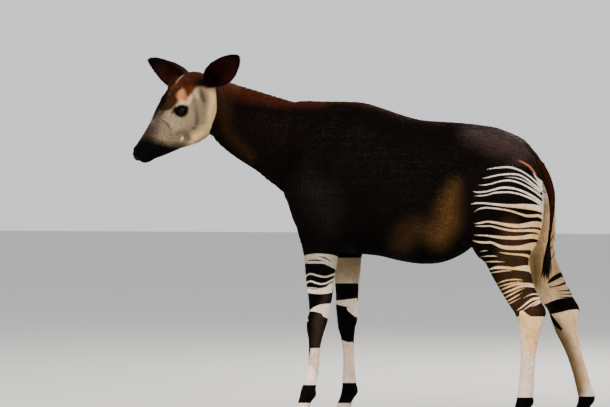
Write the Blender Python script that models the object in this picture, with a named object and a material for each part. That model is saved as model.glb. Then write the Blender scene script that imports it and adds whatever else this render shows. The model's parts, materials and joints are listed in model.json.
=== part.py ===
"""A standing okapi at life size, for a museum: body, head, ears, eyes, legs, hooves and tail.

The flesh is shaped as a distance field on a grid of points, from sweeps and muscles that melt into
each other. Its surface is read off as a mesh, thinned out, and parted with thin cuts into its nodes.
The okapi faces -X and its left side faces -Y. It stands on z = 0. Lengths are in metres.
"""

import math

import bmesh
import bpy
import numpy as np

# Driving sizes
GAP = 0.0003
WELD = 0.00002
MENDS = 4
SHIFT = (-0.3111, 0.1150, 0.0)
BODY_CELL = 0.0065
HEAD_CELL = 0.0031
REACH = 0.075
FAR = 9.0
SLOPE_LIMIT = 60.0
BODY_FACES = 5200
HEAD_FACES = 2600
LEFT = -1
RIGHT = 1
SIDES = {LEFT: "left", RIGHT: "right"}

# Trunk from breast to rump: x, top, underline, half the width
TRUNK = [
    (-0.060, 1.330, 1.010, 0.050),
    (-0.030, 1.400, 0.960, 0.095),
    (0.020, 1.455, 0.905, 0.130),
    (0.075, 1.474, 0.850, 0.158),
    (0.170, 1.494, 0.806, 0.182),
    (0.270, 1.493, 0.797, 0.202),
    (0.360, 1.468, 0.788, 0.217),
    (0.450, 1.437, 0.768, 0.229),
    (0.545, 1.412, 0.755, 0.236),
    (0.640, 1.404, 0.761, 0.234),
    (0.730, 1.398, 0.797, 0.221),
    (0.820, 1.388, 0.862, 0.202),
    (0.910, 1.371, 0.925, 0.185),
    (0.985, 1.326, 0.985, 0.152),
    (1.030, 1.274, 1.050, 0.102),
    (1.056, 1.238, 1.120, 0.050),
]
TRUNK_EGG = 0.16
TRUNK_POWER = 2.2

# Neck from chest to throat: x, y, z of its middle, half the width, half the depth
NECK = [
    (0.090, 0.000, 1.225, 0.135, 0.222),
    (0.005, -0.002, 1.272, 0.118, 0.220),
    (-0.070, -0.005, 1.303, 0.098, 0.202),
    (-0.137, -0.012, 1.335, 0.086, 0.182),
    (-0.236, -0.040, 1.383, 0.079, 0.166),
    (-0.305, -0.082, 1.424, 0.075, 0.151),
    (-0.355, -0.132, 1.466, 0.071, 0.131),
    (-0.392, -0.165, 1.497, 0.066, 0.106),
]

# Legs: x, y, z of the middle, half the width, half the depth. The right ones stand further back.
FORE_NEAR = [
    (0.085, 0.128, 1.060, 0.062, 0.125),
    (0.100, 0.130, 0.930, 0.062, 0.108),
    (0.106, 0.128, 0.850, 0.058, 0.092),
    (0.107, 0.124, 0.780, 0.053, 0.081),
    (0.102, 0.121, 0.700, 0.047, 0.069),
    (0.102, 0.119, 0.620, 0.041, 0.058),
    (0.098, 0.118, 0.540, 0.037, 0.049),
    (0.090, 0.118, 0.490, 0.037, 0.043),
    (0.080, 0.118, 0.440, 0.036, 0.036),
    (0.075, 0.118, 0.390, 0.027, 0.028),
    (0.071, 0.119, 0.330, 0.022, 0.025),
    (0.064, 0.120, 0.260, 0.023, 0.027),
    (0.052, 0.121, 0.200, 0.027, 0.032),
    (0.044, 0.122, 0.165, 0.030, 0.036),
    (0.028, 0.123, 0.120, 0.027, 0.029),
]
FORE_FAR = [
    (0.120, 0.128, 1.060, 0.062, 0.125),
    (0.140, 0.130, 0.930, 0.062, 0.108),
    (0.155, 0.128, 0.850, 0.058, 0.092),
    (0.164, 0.124, 0.780, 0.053, 0.078),
    (0.173, 0.121, 0.700, 0.047, 0.061),
    (0.172, 0.119, 0.620, 0.041, 0.054),
    (0.169, 0.118, 0.540, 0.037, 0.050),
    (0.172, 0.118, 0.490, 0.037, 0.044),
    (0.172, 0.118, 0.440, 0.036, 0.036),
    (0.174, 0.118, 0.390, 0.027, 0.029),
    (0.177, 0.119, 0.330, 0.022, 0.026),
    (0.179, 0.120, 0.260, 0.023, 0.028),
    (0.181, 0.121, 0.200, 0.027, 0.033),
    (0.182, 0.122, 0.165, 0.030, 0.036),
    (0.168, 0.123, 0.120, 0.027, 0.029),
]
HIND_NEAR = [
    (0.975, 0.120, 1.130, 0.090, 0.150),
    (0.975, 0.130, 1.040, 0.090, 0.160),
    (0.968, 0.135, 0.950, 0.085, 0.162),
    (0.963, 0.137, 0.870, 0.076, 0.143),
    (0.968, 0.137, 0.800, 0.066, 0.108),
    (0.982, 0.136, 0.740, 0.057, 0.090),
    (1.004, 0.134, 0.680, 0.048, 0.078),
    (1.032, 0.132, 0.620, 0.040, 0.070),
    (1.061, 0.130, 0.570, 0.036, 0.066),
    (1.074, 0.130, 0.520, 0.035, 0.062),
    (1.072, 0.130, 0.470, 0.030, 0.050),
    (1.068, 0.130, 0.410, 0.024, 0.040),
    (1.063, 0.130, 0.340, 0.022, 0.034),
    (1.058, 0.130, 0.260, 0.023, 0.034),
    (1.053, 0.130, 0.195, 0.028, 0.036),
    (1.049, 0.130, 0.150, 0.030, 0.038),
    (1.032, 0.131, 0.115, 0.027, 0.030),
]
HIND_FAR = [
    (0.975, 0.120, 1.130, 0.090, 0.150),
    (0.985, 0.130, 1.040, 0.090, 0.157),
    (0.992, 0.135, 0.950, 0.085, 0.155),
    (1.008, 0.137, 0.870, 0.076, 0.140),
    (1.035, 0.137, 0.800, 0.066, 0.112),
    (1.066, 0.136, 0.740, 0.057, 0.092),
    (1.099, 0.134, 0.680, 0.048, 0.080),
    (1.138, 0.132, 0.620, 0.040, 0.070),
    (1.170, 0.130, 0.570, 0.036, 0.066),
    (1.184, 0.130, 0.520, 0.035, 0.064),
    (1.193, 0.130, 0.460, 0.030, 0.051),
    (1.212, 0.130, 0.400, 0.024, 0.040),
    (1.234, 0.130, 0.335, 0.022, 0.034),
    (1.258, 0.130, 0.260, 0.023, 0.034),
    (1.275, 0.130, 0.195, 0.028, 0.035),
    (1.287, 0.130, 0.150, 0.030, 0.037),
    (1.277, 0.131, 0.115, 0.027, 0.030),
]

# Feet: heights of the coronet, its lean, the length and width of a claw, and the toe's reach forward
CORONET = 0.060
CORONET_LEAN = math.radians(14)
CLAW_LENGTH = 0.102
CLAW_WIDTH = 0.039
CLAW_SPREAD = 0.0215
CLAW_BACK = 0.038
# How far a claw's toe leads its top, how much its top is shorter, and its rings and sides
CLAW_LEAD = 0.018
CLAW_SLOPE = 0.26
CLAW_LEVELS = 5
CLAW_SIDES = 14

# Muscles that melt into the trunk on both sides: middle, radii, and how softly they blend
SHOULDER = [
    ((0.025, 0.108, 1.060), (0.075, 0.060, 0.095), 0.05),
    ((0.014, 0.050, 0.990), (0.055, 0.060, 0.090), 0.05),
    ((0.150, 0.128, 1.000), (0.090, 0.060, 0.130), 0.06),
]
BLADE = [
    (0.175, 0.085, 1.400, 0.050, 0.060),
    (0.110, 0.118, 1.270, 0.056, 0.085),
    (0.045, 0.130, 1.140, 0.058, 0.090),
]
HAUNCH = [
    ((0.918, 0.092, 1.224), (0.142, 0.098, 0.118), 0.06),
    ((0.800, 0.135, 1.275), (0.060, 0.050, 0.070), 0.06),
    ((1.035, 0.075, 1.150), (0.070, 0.070, 0.100), 0.05),
    ((0.905, 0.130, 1.050), (0.105, 0.078, 0.155), 0.06),
]
FLANK_FOLD = [
    (0.760, 0.150, 0.960, 0.045, 0.070),
    (0.830, 0.150, 0.900, 0.040, 0.055),
    (0.880, 0.145, 0.840, 0.045, 0.060),
]
# The cleft under the tail: its middle and its radii
CLEFT = ((1.200, 0.0, 0.995), (0.130, 0.040, 0.215))

# Tail: x, y, z, half the width, half the depth
TAIL = [
    (1.020, 0.000, 1.276, 0.030, 0.034),
    (1.055, 0.000, 1.244, 0.027, 0.028),
    (1.091, 0.000, 1.203, 0.025, 0.024),
    (1.122, 0.000, 1.150, 0.024, 0.022),
    (1.144, 0.000, 1.085, 0.020, 0.019),
    (1.151, 0.000, 1.015, 0.0135, 0.0135),
    (1.147, 0.000, 0.950, 0.0095, 0.0090),
    (1.139, 0.000, 0.885, 0.0085, 0.0085),
    (1.133, 0.000, 0.830, 0.0085, 0.0085),
    (1.130, 0.000, 0.805, 0.0085, 0.0085),
]

# Head: the middle of its skull, where it faces, and its sizes along the muzzle
HEAD_PLACE = (-0.417, -0.187, 1.481)
HEAD_TURN = math.radians(225)
HEAD_DIP = math.radians(38)
# forward, top, underline, half the width
SKULL = [
    (-0.078, 0.110, 0.030, 0.030),
    (-0.060, 0.142, -0.010, 0.052),
    (-0.030, 0.168, -0.040, 0.068),
    (0.010, 0.181, -0.058, 0.077),
    (0.060, 0.184, -0.064, 0.082),
    (0.110, 0.178, -0.062, 0.081),
    (0.160, 0.164, -0.056, 0.072),
    (0.215, 0.145, -0.056, 0.057),
    (0.270, 0.119, -0.050, 0.048),
    (0.320, 0.100, -0.036, 0.044),
    (0.362, 0.087, -0.018, 0.043),
    (0.398, 0.075, -0.006, 0.043),
    (0.420, 0.062, 0.004, 0.038),
    (0.434, 0.042, 0.018, 0.022),
]
SKULL_EGG = 0.22
SKULL_POWER = 2.3
EYE = (0.150, 0.0625, 0.083)
EYE_RADIUS = 0.0235
LID_THICK = 0.0045
# The lids' opening: half its length, and how far it goes up and down from the middle
LIDS_HALF = 0.0205
LIDS_UP = 0.0148
LIDS_DOWN = 0.0128

# The jaw's left bone in the head's frame: forward, left, up, half the width, half the depth
JAW = [
    (0.020, 0.046, 0.030, 0.024, 0.050),
    (0.040, 0.048, -0.030, 0.024, 0.045),
    (0.085, 0.044, -0.064, 0.022, 0.037),
    (0.150, 0.036, -0.071, 0.020, 0.029),
    (0.230, 0.024, -0.046, 0.018, 0.021),
    (0.310, 0.015, -0.022, 0.018, 0.018),
    (0.373, 0.010, -0.004, 0.018, 0.014),
    (0.404, 0.006, 0.006, 0.018, 0.011),
]
# Cheek, brow and poll on the left, in the same frame: middle, radii, how softly they blend
CHEEK = [
    ((0.062, 0.058, -0.005), (0.060, 0.026, 0.070), 0.030),
    ((0.150, 0.052, 0.020), (0.075, 0.020, 0.022), 0.025),
    ((0.118, 0.055, 0.130), (0.042, 0.024, 0.022), 0.030),
    ((0.060, 0.038, 0.162), (0.030, 0.026, 0.026), 0.030),
]
MOUTH_LINE = [(0.435, 0.000, 0.010), (0.428, 0.020, 0.009), (0.405, 0.039, 0.006),
              (0.372, 0.045, 0.008), (0.335, 0.046, 0.013), (0.300, 0.048, 0.019)]
NOSTRIL_LINE = [(0.430, 0.018, 0.051), (0.422, 0.030, 0.058), (0.408, 0.041, 0.062)]
# Half width and half depth of the mouth's line and of a nostril
MOUTH_GROOVE = (0.0040, 0.0065)
NOSTRIL_SLIT = (0.0050, 0.0080)

# Ears: length, where they root on the left of the head, their aim and the way the cup opens
EAR_LENGTH = 0.240
EAR_ROOT = (-0.030, 0.060, 0.104)
EAR_AIM = {LEFT: (-0.46, 0.853, 0.22), RIGHT: (0.28, 0.58, 0.76)}
EAR_OPEN = {LEFT: (0.50, 0.80, -0.10), RIGHT: (0.85, -0.50, -0.10)}
EAR_THICK = 0.0060
EAR_CUT = 0.10
# share of the length, radius of the cup, half the angle it spans in degrees
EAR_CUP = [
    (-0.10, 0.026, 158.0),
    (0.00, 0.029, 150.0),
    (0.12, 0.038, 132.0),
    (0.28, 0.056, 106.0),
    (0.46, 0.067, 84.0),
    (0.64, 0.069, 61.0),
    (0.80, 0.066, 42.0),
    (0.92, 0.062, 23.0),
    (1.00, 0.060, 4.0),
]

# Where the thin cuts run that part the body: a point and the way they face
NECK_CUT = ((-0.040, 0.000, 1.290), (-0.86, 0.0, 0.50))
HEAD_CUT = ((-0.345, -0.118, 1.462), (-0.66, -0.45, 0.42))
TAIL_CUT = ((1.1290, 0.000, 1.125), (0.32, 0.0, -0.947))
# Length and width of the cuts
LIMB_SHEET = (0.40, 0.225)
CORONET_SHEET = (0.16, 0.13)
NECK_SHEET = (0.50, 0.80)
HEAD_SHEET = (0.50, 0.50)
TAIL_SHEET = (0.075, 0.062)
TIP_SHEET = (0.05, 0.05)
# Pieces smaller than this are what the cuts leave over
SCRAP = 0.04

# Tail's tuft: its core, as radius and how far down it lies, and its locks
TUFT_SIDES = 12
TUFT_CORE = [(0.0090, GAP), (0.0125, 0.014), (0.0125, 0.034), (0.0090, 0.054), (0.0030, 0.068)]
TUFT_LOCKS = 30
TUFT_ROOTS = (0.016, 0.050)
TUFT_REACH = (0.105, 0.140)
GOLDEN_TURN = math.pi * (3.0 - math.sqrt(5.0))
LOCK_WIDTH = 0.0105
LOCK_THICK = 0.0042


def clear_scene():
    for item in list(bpy.data.objects):
        bpy.data.objects.remove(item, do_unlink=True)


def unit(v):
    v = np.asarray(v, dtype=float)
    return v / np.linalg.norm(v)


def smooth_rows(rows, times):
    """Rows of numbers with more rows set between them, on a curve through them all."""
    rows = np.asarray(rows, dtype=float)
    first = 2 * rows[0] - rows[1]
    last = 2 * rows[-1] - rows[-2]
    p = np.vstack([first, rows, last])
    out = []
    for i in range(1, len(p) - 2):
        for s in range(times):
            t = s / times
            a = 2 * p[i]
            b = p[i + 1] - p[i - 1]
            c = 2 * p[i - 1] - 5 * p[i] + 4 * p[i + 1] - p[i + 2]
            d = 3 * p[i] - p[i - 1] - 3 * p[i + 1] + p[i + 2]
            out.append(0.5 * (a + b * t + c * t * t + d * t ** 3))
    out.append(rows[-1])
    return np.array(out)


def melt(a, b, k):
    """The nearer of two distances, blended over k where they are alike."""
    h = np.clip(0.5 + 0.5 * (b - a) / k, 0.0, 1.0)
    return b + (a - b) * h - k * h * (1.0 - h)


class Field:
    """Distances to the flesh, negative inside, on a grid that may stand in its own frame."""

    def __init__(self, low, high, cell, place=(0.0, 0.0, 0.0), axes=None):
        self.low = np.array(low, dtype=float)
        self.cell = cell
        self.count = np.ceil((np.array(high) - self.low) / cell).astype(int) + 1
        self.place = np.array(place, dtype=float)
        self.axes = np.eye(3) if axes is None else np.array(axes, dtype=float)
        self.value = np.full(self.count, FAR, dtype=np.float32)

    def part(self, low, high):
        """The slices of the grid that cover a box given in the field's own frame."""
        a = np.floor((np.asarray(low) - self.low) / self.cell).astype(int)
        b = np.ceil((np.asarray(high) - self.low) / self.cell).astype(int) + 1
        a = np.clip(a, 0, self.count)
        b = np.clip(b, 0, self.count)
        if np.any(b <= a):
            return None, None
        lines = [self.low[i] + self.cell * np.arange(a[i], b[i]) for i in range(3)]
        points = np.stack(np.meshgrid(*lines, indexing="ij"), axis=-1)
        return tuple(slice(a[i], b[i]) for i in range(3)), points

    def inward(self, point):
        """A point of the world as the field's own frame has it."""
        return (np.asarray(point, dtype=float) - self.place) @ self.axes.T

    def turn(self, vector):
        return np.asarray(vector, dtype=float) @ self.axes.T

    def add(self, where, distance, k):
        self.value[where] = melt(self.value[where], distance.astype(np.float32), k)

    def carve(self, where, distance, k):
        self.value[where] = -melt(-self.value[where], distance.astype(np.float32), k)

    def egg(self, centre, radii, k=0.03, axes=None, carve=False, own=False):
        """An ellipsoid; own says that it is placed in the field's own frame."""
        c = np.asarray(centre, dtype=float) if own else self.inward(centre)
        frame = np.eye(3) if axes is None else np.array([unit(v) for v in axes])
        if not own:
            frame = np.array([self.turn(v) for v in frame])
        radii = np.asarray(radii, dtype=float)
        far = np.max(radii) + (k + 2 * self.cell if carve else REACH)
        where, p = self.part(c - far, c + far)
        if where is None:
            return
        q = (p - c) @ frame.T
        k0 = np.linalg.norm(q / radii, axis=-1)
        k1 = np.linalg.norm(q / radii ** 2, axis=-1) + 1e-9
        d = k0 * (k0 - 1.0) / k1
        if carve:
            self.carve(where, d, k)
        else:
            self.add(where, d, k)

    def sweep(self, rows, k=0.03, times=2, side=(0.0, 1.0, 0.0), own=False, carve=False):
        """A body through rows of x, y, z, half width, half depth; side is the way of the width."""
        rows = smooth_rows(rows, times)
        centre = rows[:, :3] if own else self.inward(rows[:, :3])
        half = rows[:, 3:5]
        up = None if side is None else (np.asarray(side, float) if own else self.turn(side))
        spare = k + 2 * self.cell if carve else REACH
        size = np.max(half, axis=1)[:, None] + spare
        where, p = self.part(np.min(centre - size, axis=0), np.max(centre + size, axis=0))
        if where is None:
            return
        whole = np.full(p.shape[:3], FAR)
        for i in range(len(rows) - 1):
            a = centre[i]
            b = centre[i + 1]
            along = b - a
            length = np.linalg.norm(along)
            w = along / length
            if up is None:
                plumb = self.turn((0.0, 0.0, 1.0))
                u = unit(np.cross(plumb, w))
            else:
                u = unit(up - w * (up @ w))
            v = np.cross(w, u)
            reach = max(np.max(half[i]), np.max(half[i + 1])) + spare
            lo = np.floor((np.minimum(a, b) - reach - p[0, 0, 0]) / self.cell).astype(int)
            hi = np.ceil((np.maximum(a, b) + reach - p[0, 0, 0]) / self.cell).astype(int) + 1
            lo = np.clip(lo, 0, p.shape[:3])
            hi = np.clip(hi, 0, p.shape[:3])
            if np.any(hi <= lo):
                continue
            box = tuple(slice(lo[j], hi[j]) for j in range(3))
            q = p[box] - a
            t = np.clip((q @ w) / length, 0.0, 1.0)
            beyond = q @ w - t * length
            r0 = half[i][0] + (half[i + 1][0] - half[i][0]) * t
            r1 = half[i][1] + (half[i + 1][1] - half[i][1]) * t
            r2 = np.minimum(r0, r1)
            x = q @ u
            y = q @ v
            k0 = np.sqrt((x / r0) ** 2 + (y / r1) ** 2 + (beyond / r2) ** 2)
            k1 = np.sqrt((x / r0 ** 2) ** 2 + (y / r1 ** 2) ** 2 + (beyond / r2 ** 2) ** 2) + 1e-9
            whole[box] = np.minimum(whole[box], k0 * (k0 - 1.0) / k1)
        if carve:
            self.carve(where, whole, k)
        else:
            self.add(where, whole, k)

    def slices(self, rows, power, egg, k=0.03):
        """A body given by its top, underline and half width along the field's own first axis."""
        rows = smooth_rows(rows, 4)
        x = rows[:, 0]
        reach = np.max(rows[:, 3]) + REACH
        where, p = self.part((x[0] - 0.02, -reach, np.min(rows[:, 2]) - REACH),
                             (x[-1] + 0.02, reach, np.max(rows[:, 1]) + REACH))
        line = p[:, 0, 0, 0]
        top = np.interp(line, x, rows[:, 1])[:, None, None]
        bottom = np.interp(line, x, rows[:, 2])[:, None, None]
        half = np.interp(line, x, rows[:, 3])[:, None, None]
        z = p[..., 2]
        y = p[..., 1]
        middle = 0.5 * (top + bottom)
        tall = 0.5 * (top - bottom)
        level = (z - middle) / tall
        wide = half * (1.0 - egg * np.clip(level, -1.0, 1.0))
        f = (np.abs(y / wide) ** power + np.abs(level) ** power) ** (1.0 / power)
        beyond = np.maximum(x[0] - p[..., 0], p[..., 0] - x[-1])
        dy = (f[:, 2:, :] - f[:, :-2, :]) / (2 * self.cell)
        dz = (f[:, :, 2:] - f[:, :, :-2]) / (2 * self.cell)
        dx = (f[2:] - f[:-2]) / (2 * self.cell)
        slope = np.zeros_like(f)
        slope[:, 1:-1, :] += dy ** 2
        slope[:, :, 1:-1] += dz ** 2
        slope[1:-1] += np.minimum(dx ** 2, SLOPE_LIMIT)
        d = (f - 1.0) / np.sqrt(np.maximum(slope, 4.0))
        d = np.maximum(d, beyond)
        self.add(where, d, k)

    def mesh(self):
        """The surface where the field is nought: points and four-sided faces that look out."""
        f = self.value
        inside = f < 0
        n = f.shape
        corners = [(i, j, k) for i in (0, 1) for j in (0, 1) for k in (0, 1)]
        count = np.zeros((n[0] - 1, n[1] - 1, n[2] - 1), dtype=np.int8)
        for c in corners:
            count += inside[c[0]:n[0] - 1 + c[0], c[1]:n[1] - 1 + c[1], c[2]:n[2] - 1 + c[2]]
        live = (count > 0) & (count < 8)
        cells = np.argwhere(live)
        number = np.full(live.shape, -1, dtype=np.int64)
        number[live] = np.arange(len(cells))
        total = np.zeros((len(cells), 3))
        hits = np.zeros(len(cells))
        for a in corners:
            for axis in range(3):
                if a[axis] == 1:
                    continue
                b = list(a)
                b[axis] = 1
                va = f[cells[:, 0] + a[0], cells[:, 1] + a[1], cells[:, 2] + a[2]]
                vb = f[cells[:, 0] + b[0], cells[:, 1] + b[1], cells[:, 2] + b[2]]
                cross = (va < 0) != (vb < 0)
                t = np.zeros(len(cells))
                t[cross] = va[cross] / (va[cross] - vb[cross])
                spot = np.array(a, float)[None, :] + t[:, None] * (np.array(b) - np.array(a))[None, :]
                total[cross] += spot[cross]
                hits[cross] += 1
        points = self.low + self.cell * (cells + total / hits[:, None])
        faces = []
        for axis in range(3):
            b, c = [(1, 2), (2, 0), (0, 1)][axis]
            one = [slice(None)] * 3
            two = [slice(None)] * 3
            one[axis] = slice(0, n[axis] - 1)
            two[axis] = slice(1, n[axis])
            change = inside[tuple(one)] != inside[tuple(two)]
            spots = np.argwhere(change)
            keep = (spots[:, b] > 0) & (spots[:, c] > 0) & (spots[:, b] < n[b] - 1) & (spots[:, c] < n[c] - 1)
            spots = spots[keep]
            leaving = inside[tuple(one)][tuple(spots.T)]
            quad = []
            for db, dc in ((0, 0), (-1, 0), (-1, -1), (0, -1)):
                s = spots.copy()
                s[:, b] += db
                s[:, c] += dc
                quad.append(number[tuple(s.T)])
            quad = np.stack(quad, axis=1)
            quad[~leaving] = quad[~leaving][:, ::-1]
            faces.append(quad)
        faces = np.vstack(faces)
        points = points @ self.axes + self.place
        return points, faces


def shape_body(field):
    """Trunk, neck, limbs and tail."""
    field.slices(TRUNK, TRUNK_POWER, TRUNK_EGG, k=0.03)
    field.sweep(NECK, k=0.09, times=3, side=None)
    for side, fore, hind in ((LEFT, FORE_NEAR, HIND_NEAR), (RIGHT, FORE_FAR, HIND_FAR)):
        fore = on_side(fore, side)
        hind = on_side(hind, side)
        shape_shoulder(field, side, fore)
        shape_haunch(field, side)
        shape_fore_leg(field, side, fore)
        shape_hind_leg(field, side, hind)
    field.egg(*CLEFT, k=0.02, carve=True)
    field.sweep(TAIL[:3], k=0.03, times=2)
    field.sweep(TAIL[2:], k=0.004, times=2)


def on_side(rows, side):
    """Rows or places of the left half as they lie on one of the sides."""
    return [(r[0], side * r[1]) + tuple(r[2:]) for r in rows]


def shape_shoulder(field, side, leg):
    field.sweep(on_side(BLADE, side), k=0.06, times=2)
    for centre, radii, k in SHOULDER:
        field.egg(on_side([centre], side)[0], radii, k=k)
    x, _, z, _, _ = leg[3]
    field.egg((x + 0.055, 0.126 * side, z + 0.075), (0.036, 0.034, 0.050), k=0.04)


def shape_haunch(field, side):
    for centre, radii, k in HAUNCH:
        field.egg(on_side([centre], side)[0], radii, k=k)
    field.sweep(on_side(FLANK_FOLD, side), k=0.06, times=2)


def shape_fore_leg(field, side, leg):
    field.sweep(leg, k=0.035, times=3)
    x, y, z, w, d = leg[8]
    field.egg((x - d * 0.55, y, z + 0.035), (0.020, 0.027, 0.046), k=0.02)
    field.egg((x + d * 0.85, y + 0.006 * side, z + 0.052), (0.013, 0.013, 0.022), k=0.016)
    field.egg((leg[5][0] - 0.012, y + 0.008 * side, leg[4][2]), (0.036, 0.030, 0.110), k=0.03)
    tendon = [(r[0] + r[4] * 0.62, r[1], r[2], 0.010, 0.010) for r in leg[8:13]]
    field.sweep(tendon, k=0.010, times=2)
    shape_foot(field, leg[-2], leg[-1])


def shape_hind_leg(field, side, leg):
    field.sweep(leg, k=0.040, times=3)
    hock = leg[9]
    heel = (hock[0] + 0.048, hock[1], hock[2] + 0.020)
    field.egg(heel, (0.022, 0.021, 0.034), k=0.02)
    string = [(heel[0] - 0.004, heel[1], heel[2] + 0.015, 0.013, 0.015)]
    for r in (leg[7], leg[6], leg[5]):
        string.append((r[0] + r[4] - 0.016, r[1], r[2], 0.014, 0.016))
    field.sweep(string, k=0.018, times=2)
    tendon = [(r[0] + r[4] * 0.62, r[1], r[2], 0.011, 0.011) for r in leg[10:15]]
    field.sweep(tendon, k=0.010, times=2)
    for r in (leg[6], leg[7]):
        for s in (-1, 1):
            spot = (r[0] + r[4] * 0.34, r[1] + s * (r[3] + 0.022), r[2])
            field.egg(spot, (0.020, 0.028, 0.045), k=0.02, carve=True)
    shape_foot(field, leg[-2], leg[-1])


def shape_foot(field, fetlock, pastern):
    """The fetlock and the two toes down to the hooves."""
    x, y, z = fetlock[:3]
    for s in (-1, 1):
        ty = y + s * CLAW_SPREAD
        field.egg((x + 0.012, y + s * 0.012, z - 0.006), (0.026, 0.018, 0.026), k=0.012)
        toe = [(x - 0.004, y + s * 0.013, z - 0.005, 0.017, 0.028),
               (x - 0.018, ty, z - 0.050, 0.0175, 0.027),
               (x - 0.032, ty, 0.070, 0.0190, 0.033),
               (x - 0.040, ty, 0.030, 0.0190, 0.036)]
        field.sweep(toe, k=0.008, times=2)


def head_axes():
    c, s = math.cos(HEAD_DIP), math.sin(HEAD_DIP)
    forward = np.array([c * math.cos(HEAD_TURN), c * math.sin(HEAD_TURN), -s])
    left = np.array([-math.sin(HEAD_TURN), math.cos(HEAD_TURN), 0.0])
    return np.array([forward, left, np.cross(forward, left)])


def mirrored(point, side):
    """A point of the head's left half on one of its sides; the left is +y in its own frame."""
    return (point[0], -side * point[1], point[2])


def shape_head(field):
    """Skull, jaw and face in the head's own frame, with the neck that carries them."""
    field.slices(SKULL, SKULL_POWER, SKULL_EGG, k=0.02)
    jaw_bone(field)
    for side in SIDES:
        shape_cheek(field, side)
    for side in SIDES:
        shape_eye_rim(field, side)
    shape_muzzle(field)
    field.sweep(NECK, k=0.06, times=3, side=None)


def jaw_bone(field):
    for side in SIDES:
        rows = [mirrored(r[:3], side) + r[3:] for r in JAW]
        field.sweep(rows, k=0.022, times=2, own=True)


def shape_cheek(field, side):
    for centre, radii, k in CHEEK:
        field.egg(mirrored(centre, side), radii, k=k, own=True)
    aim = unit(mirrored(EAR_AIM[side], side))
    hollow = np.array(mirrored(EAR_OPEN[side], side))
    hollow = unit(hollow - aim * (hollow @ aim))
    root = np.array(mirrored(EAR_ROOT, side))
    stub = [tuple(root - aim * 0.035) + (0.040, 0.040), tuple(root) + (0.034, 0.034),
            tuple(root + aim * 0.040 + hollow * 0.004) + (0.037, 0.037)]
    field.sweep(stub, k=0.025, own=True, side=(1.0, 0.1, 0.0))


def shape_eye_rim(field, side):
    def egg(centre, radii, k=0.02, axes=None, carve=False):
        field.egg(mirrored(centre, side), radii, k=k, axes=axes, carve=carve, own=True)
    f, l, h = EYE
    egg((f, l, h), (EYE_RADIUS + LID_THICK,) * 3, k=0.014)
    egg((f - 0.002, l + 0.008, h + 0.019), (0.030, 0.014, 0.008), k=0.012)
    egg((f + 0.040, l + 0.006, h - 0.014), (0.020, 0.008, 0.010), k=0.014, carve=True)


def shape_muzzle(field):
    field.egg((0.406, 0.0, 0.034), (0.032, 0.040, 0.032), k=0.018, own=True)
    field.egg((0.386, 0.0, -0.004), (0.030, 0.026, 0.015), k=0.014, own=True)
    for side in SIDES:
        field.egg(mirrored((0.401, 0.026, 0.048), side), (0.026, 0.014, 0.018), k=0.012, own=True)
        for line, groove in ((MOUTH_LINE, MOUTH_GROOVE), (NOSTRIL_LINE, NOSTRIL_SLIT)):
            rows = [mirrored(p, side) + groove for p in line]
            field.sweep(rows, k=0.004, times=3, own=True, carve=True, side=(0.0, 0.0, 1.0))


def make_object(name, points, faces, shift=SHIFT):
    mesh = bpy.data.meshes.new(name)
    spots = np.asarray(points) + np.asarray(shift)
    mesh.from_pydata([tuple(p) for p in spots], [], [tuple(int(i) for i in f) for f in faces])
    mesh.update()
    item = bpy.data.objects.new(name, mesh)
    bpy.context.scene.collection.objects.link(item)
    return item


def apply_modifiers(item):
    graph = bpy.context.evaluated_depsgraph_get()
    mesh = bpy.data.meshes.new_from_object(item.evaluated_get(graph), depsgraph=graph)
    item.modifiers.clear()
    old = item.data
    item.data = mesh
    bpy.data.meshes.remove(old)
    mesh.name = item.name


def thin(item, faces, weights=None):
    """Fewer triangles, kept where the weight is high."""
    tidy = bmesh.new()
    tidy.from_mesh(item.data)
    bmesh.ops.triangulate(tidy, faces=tidy.faces)
    tidy.to_mesh(item.data)
    tidy.free()
    now = len(item.data.polygons)
    mod = item.modifiers.new("thin", "DECIMATE")
    mod.decimate_type = "COLLAPSE"
    mod.ratio = min(1.0, faces / now)
    if weights is not None:
        group = item.vertex_groups.new(name="keep")
        levels = np.round(weights, 1)
        for level in np.unique(levels):
            group.add([int(i) for i in np.nonzero(levels == level)[0]], float(level), "REPLACE")
        mod.vertex_group = "keep"
        mod.vertex_group_factor = 1.0
        mod.invert_vertex_group = True
    apply_modifiers(item)
    item.vertex_groups.clear()


def sheet(centre, normal, across, length, width):
    """A cut as thick as the gap: a thin box about a point, square to a direction."""
    n = unit(normal)
    u = unit(np.asarray(across, float) - n * (np.asarray(across, float) @ n))
    v = np.cross(n, u)
    c = np.asarray(centre, float)
    box = [c + n * a * GAP * 0.5 + u * b * length * 0.5 + v * e * width * 0.5
           for a in (-1, 1) for b in (-1, 1) for e in (-1, 1)]
    faces = [(0, 1, 3, 2), (4, 6, 7, 5), (0, 4, 5, 1), (2, 3, 7, 6), (0, 2, 6, 4), (1, 5, 7, 3)]
    return box, faces


def join_shapes(name, shapes):
    points = []
    faces = []
    for p, f in shapes:
        start = len(points)
        points += [tuple(q) for q in p]
        faces += [tuple(i + start for i in g) for g in f]
    item = make_object(name, points, faces)
    face_out(item)
    return item


def face_out(item):
    tidy = bmesh.new()
    tidy.from_mesh(item.data)
    bmesh.ops.recalc_face_normals(tidy, faces=tidy.faces)
    tidy.to_mesh(item.data)
    tidy.free()


def cut(item, cutter, operation="DIFFERENCE"):
    mod = item.modifiers.new("cut", "BOOLEAN")
    mod.object = cutter
    mod.operation = operation
    mod.solver = "EXACT"
    apply_modifiers(item)
    bpy.data.objects.remove(cutter, do_unlink=True)


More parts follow.
